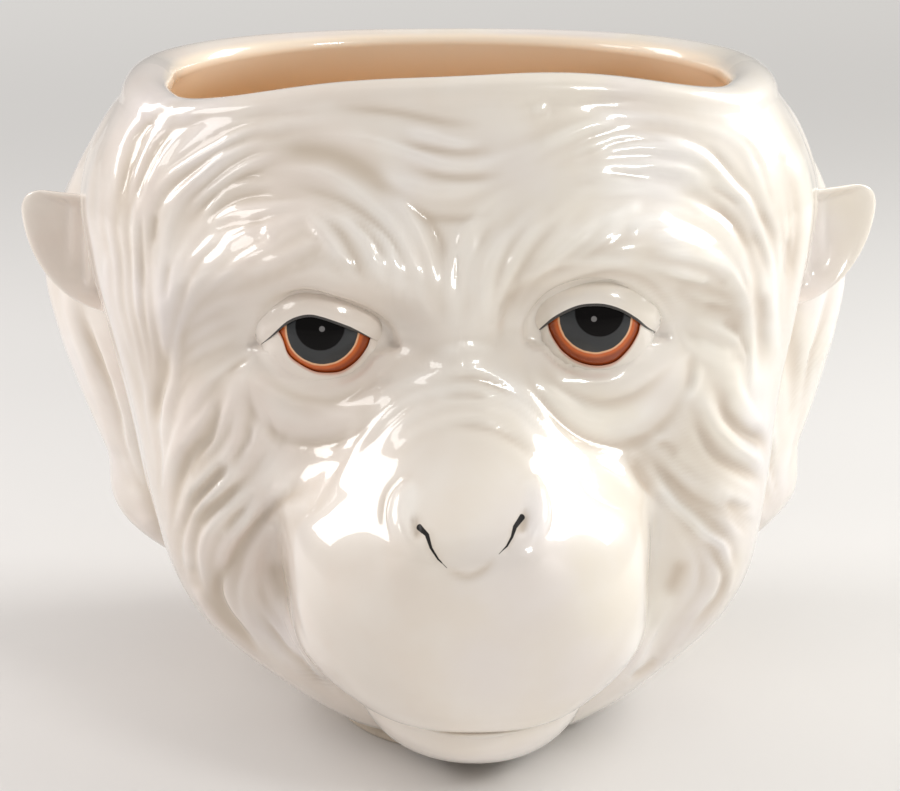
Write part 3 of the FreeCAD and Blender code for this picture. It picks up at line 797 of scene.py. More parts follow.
RIGHT_CROWN_RIDGES = (
    ((530, 112), (540, 109), (550, 107)),
    ((538, 148), (560, 138), (590, 126), (620, 122)),
    ((565, 158), (590, 147), (620, 138), (650, 137), (680, 142), (700, 150)),
    ((585, 163), (605, 152), (630, 147), (660, 148), (690, 150)),
    ((628, 170), (645, 166), (660, 167), (690, 173), (705, 182)),
    ((582, 184), (610, 180), (640, 185), (670, 190), (700, 192)),
)
RIGHT_CROWN_GROOVES = (
    ((590, 150), (620, 142), (650, 141), (680, 147)),
    ((600, 172), (630, 176), (650, 178)),
    ((700, 148), (715, 158), (730, 178), (745, 195), (752, 202)),
    ((700, 182), (720, 192), (740, 203), (745, 210)),
    ((700, 210), (720, 213), (735, 225), (745, 240), (755, 260)),
    ((745, 225), (758, 243), (765, 262), (770, 280)),
    ((760, 205), (770, 225), (777, 240), (780, 250)),
    ((787, 235), (790, 255), (790, 280)),
    ((762, 290), (765, 310), (768, 330)),
)
RIGHT_TEMPLE = (
    (
        (752, 150), (765, 190), (775, 230), (778, 270), (776, 310), (778, 350), (782, 390), (782, 430),
        (775, 470),
    ),
    (
        (800, 160), (808, 200), (806, 240), (800, 280), (797, 320), (801, 355), (808, 395), (800, 430),
        (788, 470),
    ),
)
RIGHT_CHEEK_FURROWS = (
    ((713, 395), (722, 410), (730, 422), (740, 432), (757, 440), (765, 447), (770, 460)),
    ((690, 413), (700, 430), (712, 450), (725, 462), (745, 472), (757, 480), (764, 495)),
    ((655, 440), (664, 444), (672, 448), (680, 458)),
    ((650, 455), (662, 470), (675, 485), (690, 497), (705, 505), (722, 515), (735, 532)),
    ((632, 452), (642, 470), (652, 485), (658, 492)),
    ((725, 498), (738, 506), (757, 512)),
    ((695, 525), (705, 540), (718, 560), (725, 575), (720, 595), (705, 612), (690, 628), (680, 640)),
    ((660, 655), (645, 670), (625, 680)),
)
RIGHT_CHEEK_RIDGES = (
    ((725, 395), (735, 410), (750, 425), (765, 435)),
    ((700, 410), (715, 430), (735, 447), (755, 460), (770, 475)),
    ((655, 450), (672, 465), (690, 480), (710, 492), (725, 505), (740, 518)),
    ((680, 590), (665, 610), (650, 630), (635, 655), (620, 680)),
    ((703, 570), (703, 590), (695, 605), (680, 620), (668, 640), (665, 665)),
)
RIGHT_CHEEK_ROLL = (
    (
        (640, 450), (650, 465), (662, 485), (672, 503), (690, 520), (705, 535), (722, 545), (728, 560),
        (730, 575), (728, 590), (715, 607), (705, 620),
    ),
)
BRIDGE_RIDGES = (
    ((375, 410), (400, 385), (430, 375), (470, 370), (500, 378), (530, 400), (560, 430), (600, 465)),
    (
        (335, 470), (360, 440), (390, 412), (420, 395), (450, 390), (480, 390), (510, 400), (540, 425),
        (570, 450), (600, 480),
    ),
    ((350, 475), (380, 445), (410, 420), (440, 405), (470, 402), (500, 410), (530, 430), (560, 455)),
    ((370, 460), (400, 440), (430, 425), (469, 420), (498, 427), (530, 448)),
    ((430, 352), (470, 347), (500, 350)),
    ((397, 375), (385, 395), (370, 415), (350, 435), (335, 460)),
    ((410, 395), (390, 415), (365, 440), (345, 470), (325, 500)),
    ((430, 400), (400, 425), (380, 445)),
)
BRIDGE_GROOVES = (
    ((440, 380), (470, 378), (495, 385), (520, 402)),
    ((440, 398), (470, 396), (490, 400)),
    ((440, 427), (460, 425), (490, 428), (510, 437), (530, 452), (540, 458)),
)

LEFT_CORNER = (
    ((150, 108), (131, 132), (117, 165), (109, 210)),
    ((172, 112), (150, 140), (134, 175), (126, 215)),
    ((198, 116), (170, 145), (151, 180), (143, 215)),
)
LEFT_RUFF = (
    ((66, 285), (76, 325), (96, 372), (112, 410), (122, 450), (137, 490), (152, 525)),
    ((84, 298), (95, 335), (112, 375), (125, 415), (132, 455), (147, 495), (160, 528)),
)
RIGHT_RUFF = (
    ((848, 285), (834, 320), (816, 360), (806, 400), (795, 440), (785, 480)),
    ((825, 298), (815, 330), (805, 365), (800, 400), (792, 440)),
)

# the next three only say which way the hair lies
LEFT_FUR = (
    ((300, 222), (270, 240), (235, 262), (205, 290), (185, 325)),
    ((285, 205), (250, 220), (215, 240), (190, 265), (175, 300)),
    ((330, 240), (300, 258), (265, 275), (235, 290)),
    ((190, 290), (180, 330), (178, 370), (172, 420)),
)
RIGHT_FUR = (
    ((590, 150), (640, 140), (690, 150), (735, 185), (760, 230), (775, 290)),
    ((600, 172), (650, 168), (700, 182), (735, 210), (757, 255), (765, 310), (768, 360)),
    ((610, 195), (660, 195), (700, 208), (730, 235), (748, 275), (755, 330), (752, 380)),
    ((600, 235), (640, 228), (680, 238), (715, 262), (735, 300), (740, 345)),
    ((735, 560), (725, 590), (705, 620), (680, 645), (655, 670)),
)
TOP_FUR = (
    ((130, 140), (150, 125), (190, 112), (240, 108), (290, 108), (330, 106)),
    ((600, 105), (650, 110), (700, 118), (745, 135), (770, 165)),
)

NOSE_WINGS = (
    ((420, 482), (406, 494), (400, 512), (403, 528), (414, 544)),
    ((524, 476), (537, 490), (541, 508), (538, 524), (528, 540)),
)
WING_CREASES = (
    ((420, 472), (404, 479), (392, 489), (386, 500), (384, 515), (387, 530), (396, 543)),
    ((528, 464), (538, 472), (546, 487), (552, 505), (553, 520), (549, 533), (540, 546)),
)
NOSTRILS = (
    ((412, 514), (414, 524), (419, 540)),
    ((526, 508), (525, 518), (520, 534)),
)
NOSTRIL_LINES = (
    ((419, 527), (427, 535), (431, 548), (438, 559), (447, 568)),
    ((522, 517), (515, 527), (512, 537), (507, 546), (499, 554)),
)
MOUTH_CORNERS = (
    ((271, 556), (275, 570), (283, 588), (292, 604)),
    ((683, 556), (679, 568), (672, 584), (664, 600)),
)
MUZZLE_EDGES = (
    ((284, 572), (294, 595), (304, 620), (314, 648), (328, 675), (343, 696)),
    ((672, 570), (664, 592), (654, 616), (641, 645), (626, 670), (610, 690)),
)
NOSE_UNDERSIDE = (((440, 562), (450, 571), (467, 577), (484, 570), (500, 555)),)


# strokes, how wide each is in pixels, and how far it stands out in millimetres, or sinks where it is under 0
CUTS = (
    (FOREHEAD_HOLLOW, 10, -1.7),
    (FOREHEAD_RIDGES, 5.5, 1.2),
    (FOREHEAD_GROOVES, 5.0, -1.1),
    (LEFT_BROW_RIDGES, 5.2, 1.1),
    (LEFT_BROW_GROOVES, 4.8, -1.0),
    (LEFT_CROWN_RIDGES, 4.6, 0.9),
    (between(LEFT_CROWN_RIDGES), 4.4, -0.8),
    (comb(*LEFT_TEMPLE, 5), 4.0, -0.8),
    (LEFT_TEMPLE_RIDGES, 4.6, 1.0),
    (LEFT_CORNER, 4.8, 0.9),
    (between(LEFT_CORNER), 4.8, -0.9),
    (LEFT_TEMPLE_GROOVES, 4.4, -0.9),
    (comb(*LEFT_EYE_COMB, 3), 5.0, -0.5),
    (LEFT_CHEEK_GROOVES, 4.8, -1.1),
    (LEFT_CHEEK_FURROWS, 5.4, -1.7),
    (LEFT_CHEEK_RIDGES, 4.6, 0.9),
    (LEFT_CHEEK_STRANDS, 4.5, 0.9),
    (between(LEFT_CHEEK_STRANDS[:5]), 4.6, -0.6),
    (EYE_CREASES, 4.8, -0.9),
    (POUCH_BULGES, 9, 1.2),
    (POUCH_CREASES, 5.4, -0.9),
    (POUCH_EDGES, 6, -1.2),
    (EYE_GROOVES, 5.4, -0.7),
    (EYE_RIDGES, 4.6, 0.8),
    (RIGHT_BROW_RIDGES, 5.0, 0.8),
    (between(RIGHT_BROW_RIDGES[:4]), 5.0, -0.7),
    (RIGHT_BROW_ROLL, 8.0, 1.1),
    (RIGHT_BROW_TUFTS, 5.5, 1.0),
    (RIGHT_TUFT_RIDGES, 5.2, 1.0),
    (RIGHT_TUFT_GROOVES, 4.6, -0.9),
    (RIGHT_CROWN_RIDGES, 4.8, 0.9),
    (RIGHT_CROWN_GROOVES, 4.8, -0.8),
    (comb(*RIGHT_TEMPLE, 3), 4.0, -0.7),
    (RIGHT_CHEEK_FURROWS, 5.2, -1.3),
    (RIGHT_CHEEK_RIDGES, 5.0, 1.0),
    (RIGHT_CHEEK_ROLL, 5.0, 1.7),
    (BRIDGE_RIDGES, 5.0, 0.75),
    (BRIDGE_GROOVES, 5.0, -0.9),
    (comb(*LEFT_RUFF, 2), 5.5, -1.3),
    (LEFT_RUFF, 5.0, 1.2),
    (comb(*RIGHT_RUFF, 1), 5.5, -1.3),
    (RIGHT_RUFF, 5.0, 1.2),
    (MOUTH_CORNERS, 8, -1.2),
    (MUZZLE_EDGES, 8, 1.0),
    (NOSE_WINGS, 11, 2.2),
    (WING_CREASES, 5.0, -1.1),
    (NOSTRILS, 5, -1.8),
    (NOSTRIL_LINES, 4.0, -0.7),
    (NOSE_UNDERSIDE, 4.0, -1.0),
)
# how deep the fine strands are along each kind of stroke, times the comb's depth, and the strokes
COMBED = (
    (1.0, (LEFT_CROWN_RIDGES, LEFT_BROW_RIDGES, RIGHT_CROWN_RIDGES, RIGHT_BROW_RIDGES, RIGHT_TUFT_RIDGES)),
    (1.6, (LEFT_CHEEK_STRANDS, LEFT_CHEEK_RIDGES, LEFT_CHEEK_GROOVES)),
    (1.6, (RIGHT_CHEEK_RIDGES, RIGHT_CHEEK_FURROWS, RIGHT_CROWN_GROOVES)),
    (1.3, (LEFT_TEMPLE, RIGHT_TEMPLE, RIGHT_FUR, TOP_FUR, LEFT_CORNER)),
    (2.2, (LEFT_RUFF, RIGHT_RUFF)),
    (1.5, (LEFT_FUR,)),
    (1.0, (LEFT_EYE_COMB,)),
    (0.4, (FOREHEAD_RIDGES,)),
    (0.3, (BRIDGE_RIDGES,)),
    (0.0, (POUCH_BULGES, POUCH_CREASES, EYE_CREASES, MUZZLE_EDGES, NOSE_WINGS)),
)
# the depth is in metres, the length and width of a strand in pixels
COMB_DEPTH, STRAND_LENGTH, STRAND_WIDTH = 0.4 * MM, 70, 3.9


def carve_face(places):
    """The whole head's strokes over points that fall at these places in the picture."""
    face = Carving(places)
    for strokes, width, height in CUTS:
        face.cut(strokes, width, height * MM)
    return face.relief


def comb_face(places):
    """Fine strands between the strokes over points that fall at these places in the picture."""
    hair = Combing(3)
    for times, groups in COMBED:
        for strokes in groups:
            hair.lay(strokes, times * COMB_DEPTH)
    strands = hair.strands(STRAND_LENGTH, STRAND_WIDTH)
    column, row = np.clip(places / CELL, 0, (hair.wide - 1.01, hair.tall - 1.01)).T
    return between_cells(strands, row, column)


print("strokes to cut:", sum(len(strokes) for strokes, width, height in CUTS))

# %% [markdown]
# ## The head's skin
# The plain skin is turned into a mesh, the strokes are cut in where the camera sees them, and the hair goes
# on round the back, where the photograph doesn't show it, as plain combed strands. Where an eye sits the
# skin sinks, so that the ball and its lids stand in a socket.

# %% Head skin
def row_normals(grid):
    """Outward normals over a grid of points."""
    around = np.gradient(grid, axis=1)
    around[:, 0] = around[:, -1] = (grid[:, 1] - grid[:, -2]) / 2
    up = np.gradient(grid, axis=0)
    normals = np.cross(around, up)
    return normals / np.maximum(np.linalg.norm(normals, axis=-1, keepdims=True), 1e-12)


def facing(points, normals):
    """How much of each bit of skin the camera sees: 0 edge on and away, 1 square on."""
    ray = eye_point - points
    ray /= np.linalg.norm(ray, axis=-1, keepdims=True)
    return ramp((np.sum(normals * ray, axis=-1) - 0.08) / 0.3)


def within(places, outline):
    """How far inside an outline in the picture places lie, in pixels, and under 0 outside it."""
    start, end = outline, np.roll(outline, -1, axis=0)
    run = end - start
    gap, inside = np.full(len(places), np.inf), np.zeros(len(places), dtype=bool)
    for first, way, last in zip(start, run, end):
        offset = places - first
        share = np.clip(offset @ way / (way @ way), 0, 1)
        gap = np.minimum(gap, np.hypot(*(offset - share[:, None] * way).T))
        crosses = (first[1] > places[:, 1]) != (last[1] > places[:, 1])
        slope = (places[:, 1] - first[1]) / (way[1] if way[1] else 1e-9) * way[0] + first[0]
        inside ^= crosses & (places[:, 0] < slope)
    return np.where(inside, gap, -gap)


SOCKET_DEPTH = 4.4 * MM
LOCK_DEPTH, STRAND_DEPTH = 0.6 * MM, 0.4 * MM
# locks and strands round the whole head
LOCKS, STRANDS = 17, 47
# the combed hair of the sides starts at this place from front to back and is whole at 0, the head's axis
HAIR_START = -60 * MM
# skin behind this place is never part of a socket
FACE_BACK = -50 * MM
# a groove this deep holds its whole pool of glaze and its whole painted shade
POOL_AND_SHADE_DEPTH = 1.5 * MM


def eye_socket(points):
    """1 where the skin gives way to an eye and its lids."""
    flat = points.reshape(-1, 3)
    places = in_picture(flat)
    ahead = np.nonzero(flat[:, 1] < FACE_BACK)[0]
    hollow = np.zeros(len(flat))
    for word in ("left", "right"):
        crease = spaced(UPPER_LIDS[word][1], 40)
        edge, far = (spaced(curve, 40) for curve in LOWER_LIDS[word])
        outline = np.vstack((crease, (0.35 * edge + 0.65 * far)[::-1]))
        depth = within(places[ahead], outline)
        hollow[ahead] = np.maximum(hollow[ahead], ramp((depth - 1) / 8))
    return hollow.reshape(points.shape[:-1])


def back_hair(points):
    """Combed strands round the sides and the back, falling from the rim."""
    turn = np.arctan2(points[..., 0], -points[..., 1])
    height = points[..., 2] / HEAD_HEIGHT
    wander = np.sin(3.2 * height + 2 * turn) + 0.4 * np.sin(9.0 * height - 5 * turn)
    lock = np.cos(LOCKS * turn + 1.1 * wander)
    strand = np.cos(STRANDS * turn + 2.6 * wander + 0.9 * lock)
    return LOCK_DEPTH * lock + STRAND_DEPTH * strand


outside = slice(FIRST_OUTSIDE, RIM_END)
plain = skin[outside]
normals = row_normals(skin)[outside]
seen = facing(plain, normals)
places = in_picture(plain.reshape(-1, 3))
relief = (carve_face(places) + comb_face(places)).reshape(seen.shape)
rows_up = np.linspace(0, 1, plain.shape[0])[:, None]
rim_fade = 1 - ramp((rows_up - 0.9) / 0.06)
side = ramp((plain[..., 1] - HAIR_START) / -HAIR_START)
hair = back_hair(plain) * side * (1 - 0.8 * seen) * rim_fade * ramp(rows_up / 0.03)
carved = relief * seen + hair
socket = eye_socket(plain)
carved = carved * (1 - socket)
shaped = plain + normals * (carved - SOCKET_DEPTH * socket)[..., None]
hollows = np.zeros(skin.shape[:2])
hollows[outside] = -carved / POOL_AND_SHADE_DEPTH
indoors = np.zeros(skin.shape[:2])
indoors[RIM_END - 1 :] = 1.0
skin[outside] = shaped
print("relief from", round(float(carved.min() * 1000), 2), "to", round(float(carved.max() * 1000), 2), "mm")


def select_nothing():
    for item in bpy.context.selected_objects:
        item.select_set(False)


def wrapped_grid(name, points, marks):
    """A grid primitive folded over rows of points and welded where it meets itself, with marks per point."""
    select_nothing()
    rows, columns = points.shape[:2]
    bpy.ops.mesh.primitive_grid_add(x_subdivisions=columns - 1, y_subdivisions=rows - 1, size=1)
    piece = bpy.context.object
    piece.name = name
    mesh = piece.data
    mesh.vertices.foreach_set("co", points.reshape(-1).astype(np.float32))
    for mark, values in marks.items():
        layer = mesh.attributes.new(mark, "FLOAT", "POINT")
        layer.data.foreach_set("value", values.reshape(-1).astype(np.float32))
    bpy.ops.object.mode_set(mode="EDIT")
    bpy.ops.mesh.select_all(action="SELECT")
    bpy.ops.mesh.remove_doubles(threshold=1e-6)
    bpy.ops.mesh.normals_make_consistent(inside=False)
    bpy.ops.object.mode_set(mode="OBJECT")
    bpy.ops.object.shade_smooth()
    return piece


def close_pole(row):
    """A row of points drawn together into its middle."""
    return np.broadcast_to(row[:-1].mean(axis=0), row.shape)


skin[:, -1] = skin[:, 0]
skin[0], skin[-1] = close_pole(skin[0]), close_pole(skin[-1])
head = wrapped_grid("head_skin", skin, {"hollow": hollows, "indoors": indoors})
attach(head, "root")
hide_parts("head_shell")
print("head skin:", len(head.data.polygons), "faces")

# %% [markdown]
# ## The eyes
# Each eyeball is a dome of clay set on its seat, a little fuller over the iris, as a real eye is. Two lids
# are laid over it as curved rolls: each is a strip of a larger sphere, thick at its free edge and dying
# away under the skin at its far edge, which leaves the crease above the eye.

# %% Eyeballs and lids
UNDER_LID = 24.15 * MM
# where the painted lash line starts, is full, fades and ends, across the picture
LASHES = {"left": (253, 288, 350, 373), "right": (528, 552, 636, 666)}
LID_POINTS = 81


def on_ball(places, side, radius):
    """Where the camera's rays through places in the picture meet a ball about the eye's centre."""
    ray, centre = ray_through(places), eye_centre(side)
    to_centre = centre - eye_point
    nearest = ray @ to_centre
    miss = to_centre @ to_centre - nearest**2
    back = np.sqrt(np.maximum(radius**2 - miss, (2 * MM) ** 2))
    points = eye_point + ray * (nearest - back)[..., None]
    outward = points - centre
    return centre + outward / np.linalg.norm(outward, axis=-1, keepdims=True) * np.asarray(radius)[..., None]


def from_eye(points, side):
    """Points given across, up and out of an eye, as points of the room."""
    turn = side * EYE_SPLAY
    across = np.array((math.cos(turn), math.sin(turn), 0.0))
    out = np.array((math.sin(turn), -math.cos(turn), 0.0))
    up = np.array((0.0, 0.0, 1.0))
    return eye_centre(side) + points[..., :1] * across + points[..., 1:2] * up + points[..., 2:] * out


def eyeball(word, side):
    """A dome on its seat. Rows run from the middle of the iris back to the seat and in to its middle."""
    rows = []
    turns = np.linspace(-math.pi, math.pi, 97)
    seat = 6.2 * MM
    last = math.acos(seat / BALL)

    def add(ring, out):
        rows.append(np.stack((ring * np.cos(turns), ring * np.sin(turns), 0 * turns + out), -1))

    for polar in np.linspace(0, last, 44):
        radius = BALL - 0.25 * MM + 0.2 * MM * (1 - ramp((polar - 0.3) / 0.3))
        add(radius * math.sin(polar), radius * math.cos(polar))
    for share in (0.9, 0.6, 0.3, 0.0):
        add(BALL * math.sin(last) * share, seat)
    grid = np.array(rows)
    grid[:, -1] = grid[:, 0]
    piece = wrapped_grid(f"{word}_eye_dome", from_eye(grid, side), {})
    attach(piece, "root")
    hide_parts(f"{word}_eyeball")
    return piece


def eyelid(word, side, upper):
    """One lid: a strip from its rounded free edge to its far edge, both of them places in the picture."""
    edge, far = (spaced(curve, LID_POINTS) for curve in (UPPER_LIDS if upper else LOWER_LIDS)[word])
    # how far the lid stands out at its free edge, at its crest and at its far edge, in millimetres
    lift, crest, sink = (0.9, 2.3, 1.8) if upper else (0.3, 2.0, 1.7)
    rows = []
    ways = np.concatenate(((0.0, 0.04, 0.09), np.linspace(0.15, 1, 14)))
    for way in ways[::-1]:
        rows.append((way, UNDER_LID))
    for share in (0.25, 0.5, 0.75):
        rows.append((-0.012 * math.sin(math.pi * share), UNDER_LID + lift * MM * share))
    for way in ways:
        rise = math.sin(math.pi / 2 * min(way / 0.5, 1.0)) if upper else float(ramp(way / 0.7))
        fall = float(ramp((way - 0.7) / 0.3))
        rows.append((way, UNDER_LID + (lift + (crest - lift) * rise - (crest - sink) * fall) * MM))
    ends = np.sin(np.linspace(0, math.pi, LID_POINTS)) ** 0.2
    grid = []
    for way, radius in (*rows, rows[0]):
        grid.append(on_ball(edge + (far - edge) * way, side, UNDER_LID + (radius - UNDER_LID) * ends))
    grid = np.array(grid)
    grid[:, 0] = grid[:, 0].mean(axis=0)
    grid[:, -1] = grid[:, -1].mean(axis=0)
    start, full, fading, end = LASHES[word]
    thick = np.interp(edge[:, 0], (start - 4, start, full, fading, end, end + 4), (-1, 0, 2.6, 2.6, 0, -1))
    span = np.hypot(*(far - edge).T)
    edge_gap = np.array([max(way, 0) * span for way, radius in (*rows, rows[0])])
    # pixels inside the lash line, and how much of the eye's amber has run on to the lower lid
    lash = thick - edge_gap if upper else -1 + 0 * edge_gap
    stain = 0 * edge_gap if upper else np.clip(1 - edge_gap / 3.5, 0, 1) * np.clip((thick + 0.5) / 3, 0, 1)
    name = "upper" if upper else "lower"
    piece = wrapped_grid(f"{word}_{name}_lid", grid, {"lash": lash, "stain": stain})
    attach(piece, "root")
    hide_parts(f"{word}_{name}_eyelid")
    return piece


eyeballs, lids = [], []
for word, side in (("left", -1), ("right", 1)):
    eyeballs.append(eyeball(word, side))
    lids += [eyelid(word, side, True), eyelid(word, side, False)]
print("eye centres", [eye_centre(side).round(4) for side in (-1, 1)])

# %% [markdown]
# ## The ears
# An ear is a leaf of clay with a level top and a round lower edge, swept back from the head. Its edge is
# rolled forward, so that it holds a hollow, and a few long strokes run down inside it.

# %% Ears
EAR_LEVEL, EAR_RISE, EAR_RADIUS, EAR_SWEEP = 208 * MM, 7 * MM, 43 * MM, math.radians(32)
EAR_ROOT, EAR_BURIED, EAR_EDGE, EAR_CORNER = 9 * MM, 14 * MM, 2.6 * MM, 10 * MM
# share of the leaf's height over which it closes at its top and its bottom
EAR_CLOSING = 0.06


def ear(word, side):
    """Rows run down the leaf from its level top, and columns from its root out, over the rim and back."""
    longer = 1.07 if side > 0 else 1.0
    ahead = np.array((side * math.sin(EAR_SWEEP), -math.cos(EAR_SWEEP), 0.0))
    out = np.array((side * math.cos(EAR_SWEEP), math.sin(EAR_SWEEP), 0.0))
    flank = plain_radius(np.array([math.pi / 2]), np.array([EAR_LEVEL]))[0]
    root = np.array((side * (flank - EAR_ROOT), 0.0, EAR_LEVEL))
    rows = []
    for share in (1 - np.cos(np.linspace(0, math.pi, 71))) / 2:
        level = EAR_RISE - (EAR_RISE + EAR_RADIUS - 0.3 * MM) * share
        past = max(level - EAR_RISE + EAR_CORNER, 0) / EAR_CORNER
        rounding = EAR_CORNER * (1 - math.sqrt(max(1 - past**2, 0)))
        reach = longer * math.sqrt(max((EAR_RADIUS - EAR_EDGE) ** 2 - level**2, 0)) - rounding
        from_end = min(share, 1 - share, EAR_CLOSING) / EAR_CLOSING
        thick = EAR_EDGE * math.sqrt(max(1 - (1 - from_end) ** 2, 0))
        front = []
        for way in np.linspace(0, 1, 30):
            distance = -EAR_BURIED + (reach + EAR_BURIED) * way
            rim = max(float(ramp((way - 0.6) / 0.4)), float(ramp(1 - (EAR_RISE - level) / (9 * MM))))
            curl = rim**1.5
            inside = float(ramp((way - 0.35) / 0.2) * ramp((0.85 - way) / 0.15)) * (1 - curl)
            strand = 0.7 * MM * math.sin(distance / (1.4 * MM) + 40 * level) * inside
            front.append((distance, (7.5 * curl - 4.5) * MM, strand * thick / EAR_EDGE))
        section = [(distance, lift + thick * 0.5 + strand) for distance, lift, strand in front]
        for turn in np.radians((60, 30, 0, -30, -60)):
            roll = front[-1][1] + thick * (math.sin(turn) * 0.8 - 0.3)
            section.append((reach + thick * math.cos(turn), roll))
        section += [(distance, lift - thick * 1.1) for distance, lift, strand in front[::-1]]
        section.append(section[0])
        height = np.array((0, 0, level))
        rows.append([root + out * distance + ahead * lift + height for distance, lift in section])
    grid = np.array(rows)
    piece = wrapped_grid(f"{word}_ear_leaf", grid, {})
    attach(piece, "root")
    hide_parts(f"{word}_ear")
    return piece


ears = [ear("left", -1), ear("right", 1)]

# %% [markdown]
# ## The lower jaw
# Chin and lower lip are one form under the dark line of the mouth: an oval tray that steps forward as it
# rises, with a rounded lip.

# %% Lower jaw
JAW_HEIGHT, JAW_HALF, JAW_ROOT, JAW_TIP = 36 * MM, 50 * MM, 40 * MM, 157 * MM
LIP_RISE, LIP_SPAN = 10 * MM, 40 * MM
# height up the chin, and how wide and deep the chin is there
JAW_SECTIONS = ((0.00, 0.50), (0.14, 0.60), (0.38, 0.78), (0.62, 0.90), (1.00, 0.98))


def jaw_skin():
    """Rows from the middle of the underside up the chin, over the lip and in to the middle of the top."""
    turns = np.linspace(-math.pi, math.pi, 161)
    length = (JAW_TIP - JAW_ROOT) / 2
    rows = []

    def add(section, share, inset=0.0, sink=0.0):
        x = (JAW_HALF * section - inset) * np.sin(turns)
        y = -(JAW_ROOT + length * section) - (length * section - inset) * np.cos(turns)
        smile = LIP_RISE * (x / LIP_SPAN) ** 2 * share
        height = FOOT + JAW_HEIGHT * share + smile - sink
        rows.append(np.stack((x + lean(height), y, height), -1))

    for share in (0.002, 0.4, 0.8, 0.94):
        add(JAW_SECTIONS[0][1] * share, 0.0)
    for share in np.linspace(0.03, 0.92, 40):
        (section,) = along(JAW_SECTIONS, np.array([share]))
        add(float(section[0]), share)
    lip = 3 * MM
    for turn in np.radians((25, 50, 75, 90)):
        add(1.0, 1.0, lip * (1 - math.cos(turn)), lip * (1 - math.sin(turn)))
    for share in (0.8, 0.5, 0.2, 0.002):
        add(share, 1.0)
    return np.array(rows)


grid = jaw_skin()
grid[:, -1] = grid[:, 0]
grid[0], grid[-1] = close_pole(grid[0]), close_pole(grid[-1])
jaw = wrapped_grid("jaw_skin", grid, {})
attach(jaw, "root")
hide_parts("lower_jaw")
print("lower jaw:", len(jaw.data.polygons), "faces")

# %% [markdown]
# ## The foot ring
# Under the pot runs a bare ring. Its glaze is wiped off before the firing, because glaze would stick to the
# kiln shelf. Its edges are rubbed round with a wet sponge.

# %% Foot ring
FOOT_HALF, FOOT_DEPTH, FOOT_WALL = 52 * MM, 75 * MM, 9 * MM


def foot_skin():
    turns = np.linspace(-math.pi, math.pi, 181)
    soft = 1.5 * MM
    profile = []
    for inset, start in ((soft - FOOT_WALL, 180), (-soft, 270)):
        for step in (0, 30, 60, 90):
            turn = math.radians(start + step)
            profile.append((inset + soft * math.cos(turn), soft + soft * math.sin(turn)))
    profile += [(0, FOOT + 1 * MM), (-FOOT_WALL / 2, FOOT + 1.5 * MM), (-FOOT_WALL, FOOT + 1 * MM)]
    profile.append(profile[0])
    rows = []
    for inset, height in profile:
        rub = 1 + 0.004 * np.sin(5 * turns) + 0.003 * np.sin(11 * turns + 1)
        rub = rub if height < FOOT else 1
        x, y = (FOOT_HALF + inset) * np.sin(turns), -(FOOT_DEPTH + inset) * np.cos(turns)
        rows.append(np.stack((x, y, 0 * turns + height * rub), -1))
    grid = np.array(rows)
    grid[:, -1] = grid[:, 0]
    return grid


foot = wrapped_grid("bare_foot", foot_skin(), {})
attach(foot, "root")
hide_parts("foot_ring")
print("foot ring:", len(foot.data.polygons), "faces")

# %% [markdown]
# ## Glaze, paint and clay
# A pearl glaze is a milky skin over white clay: pale on the ridges, where it thins, and darker in the
# grooves, where it pools and where painted shade is added. The left side is painted rosier and darker as
# shade and the right creamier and lighter as light, and lilac patches are painted in as the pearl's sheen.
# Inside the pot the peach is painted light thrown round the well, deeper lower down as painted shade. The
# eyes were painted by hand over the glaze.

# %% Shader tools
class Wire:
    """A socket that can be added, multiplied and compared like a number."""

    def __init__(self, tree, socket):
        self.tree, self.socket = tree, socket

    def math(self, operation, *others, clamp=False):
        node = self.tree.nodes.new("ShaderNodeMath")
        node.operation, node.use_clamp = operation, clamp
        for place, value in enumerate((self, *others)):
            Shader.plug(self.tree, value, node.inputs[place])
        return Wire(self.tree, node.outputs[0])

    def __add__(self, other):
        return self.math("ADD", other)

    def __sub__(self, other):
        return self.math("SUBTRACT", other)

    def __rsub__(self, other):
        return (self * -1).math("ADD", other)

    def __mul__(self, other):
        return self.math("MULTIPLY", other)

    def __rmul__(self, other):
        return self.math("MULTIPLY", other)

    def __pow__(self, other):
        return self.math("POWER", other)

    def between(self, low, high):
        """0 below low, 1 above high, smooth between. High may be under low."""
        node = self.tree.nodes.new("ShaderNodeMapRange")
        node.interpolation_type = "SMOOTHSTEP"
        flip = high < low
        Shader.plug(self.tree, self, node.inputs["Value"])
        node.inputs["From Min"].default_value = min(low, high)
        node.inputs["From Max"].default_value = max(low, high)
        result = Wire(self.tree, node.outputs["Result"])
        return 1 - result if flip else result


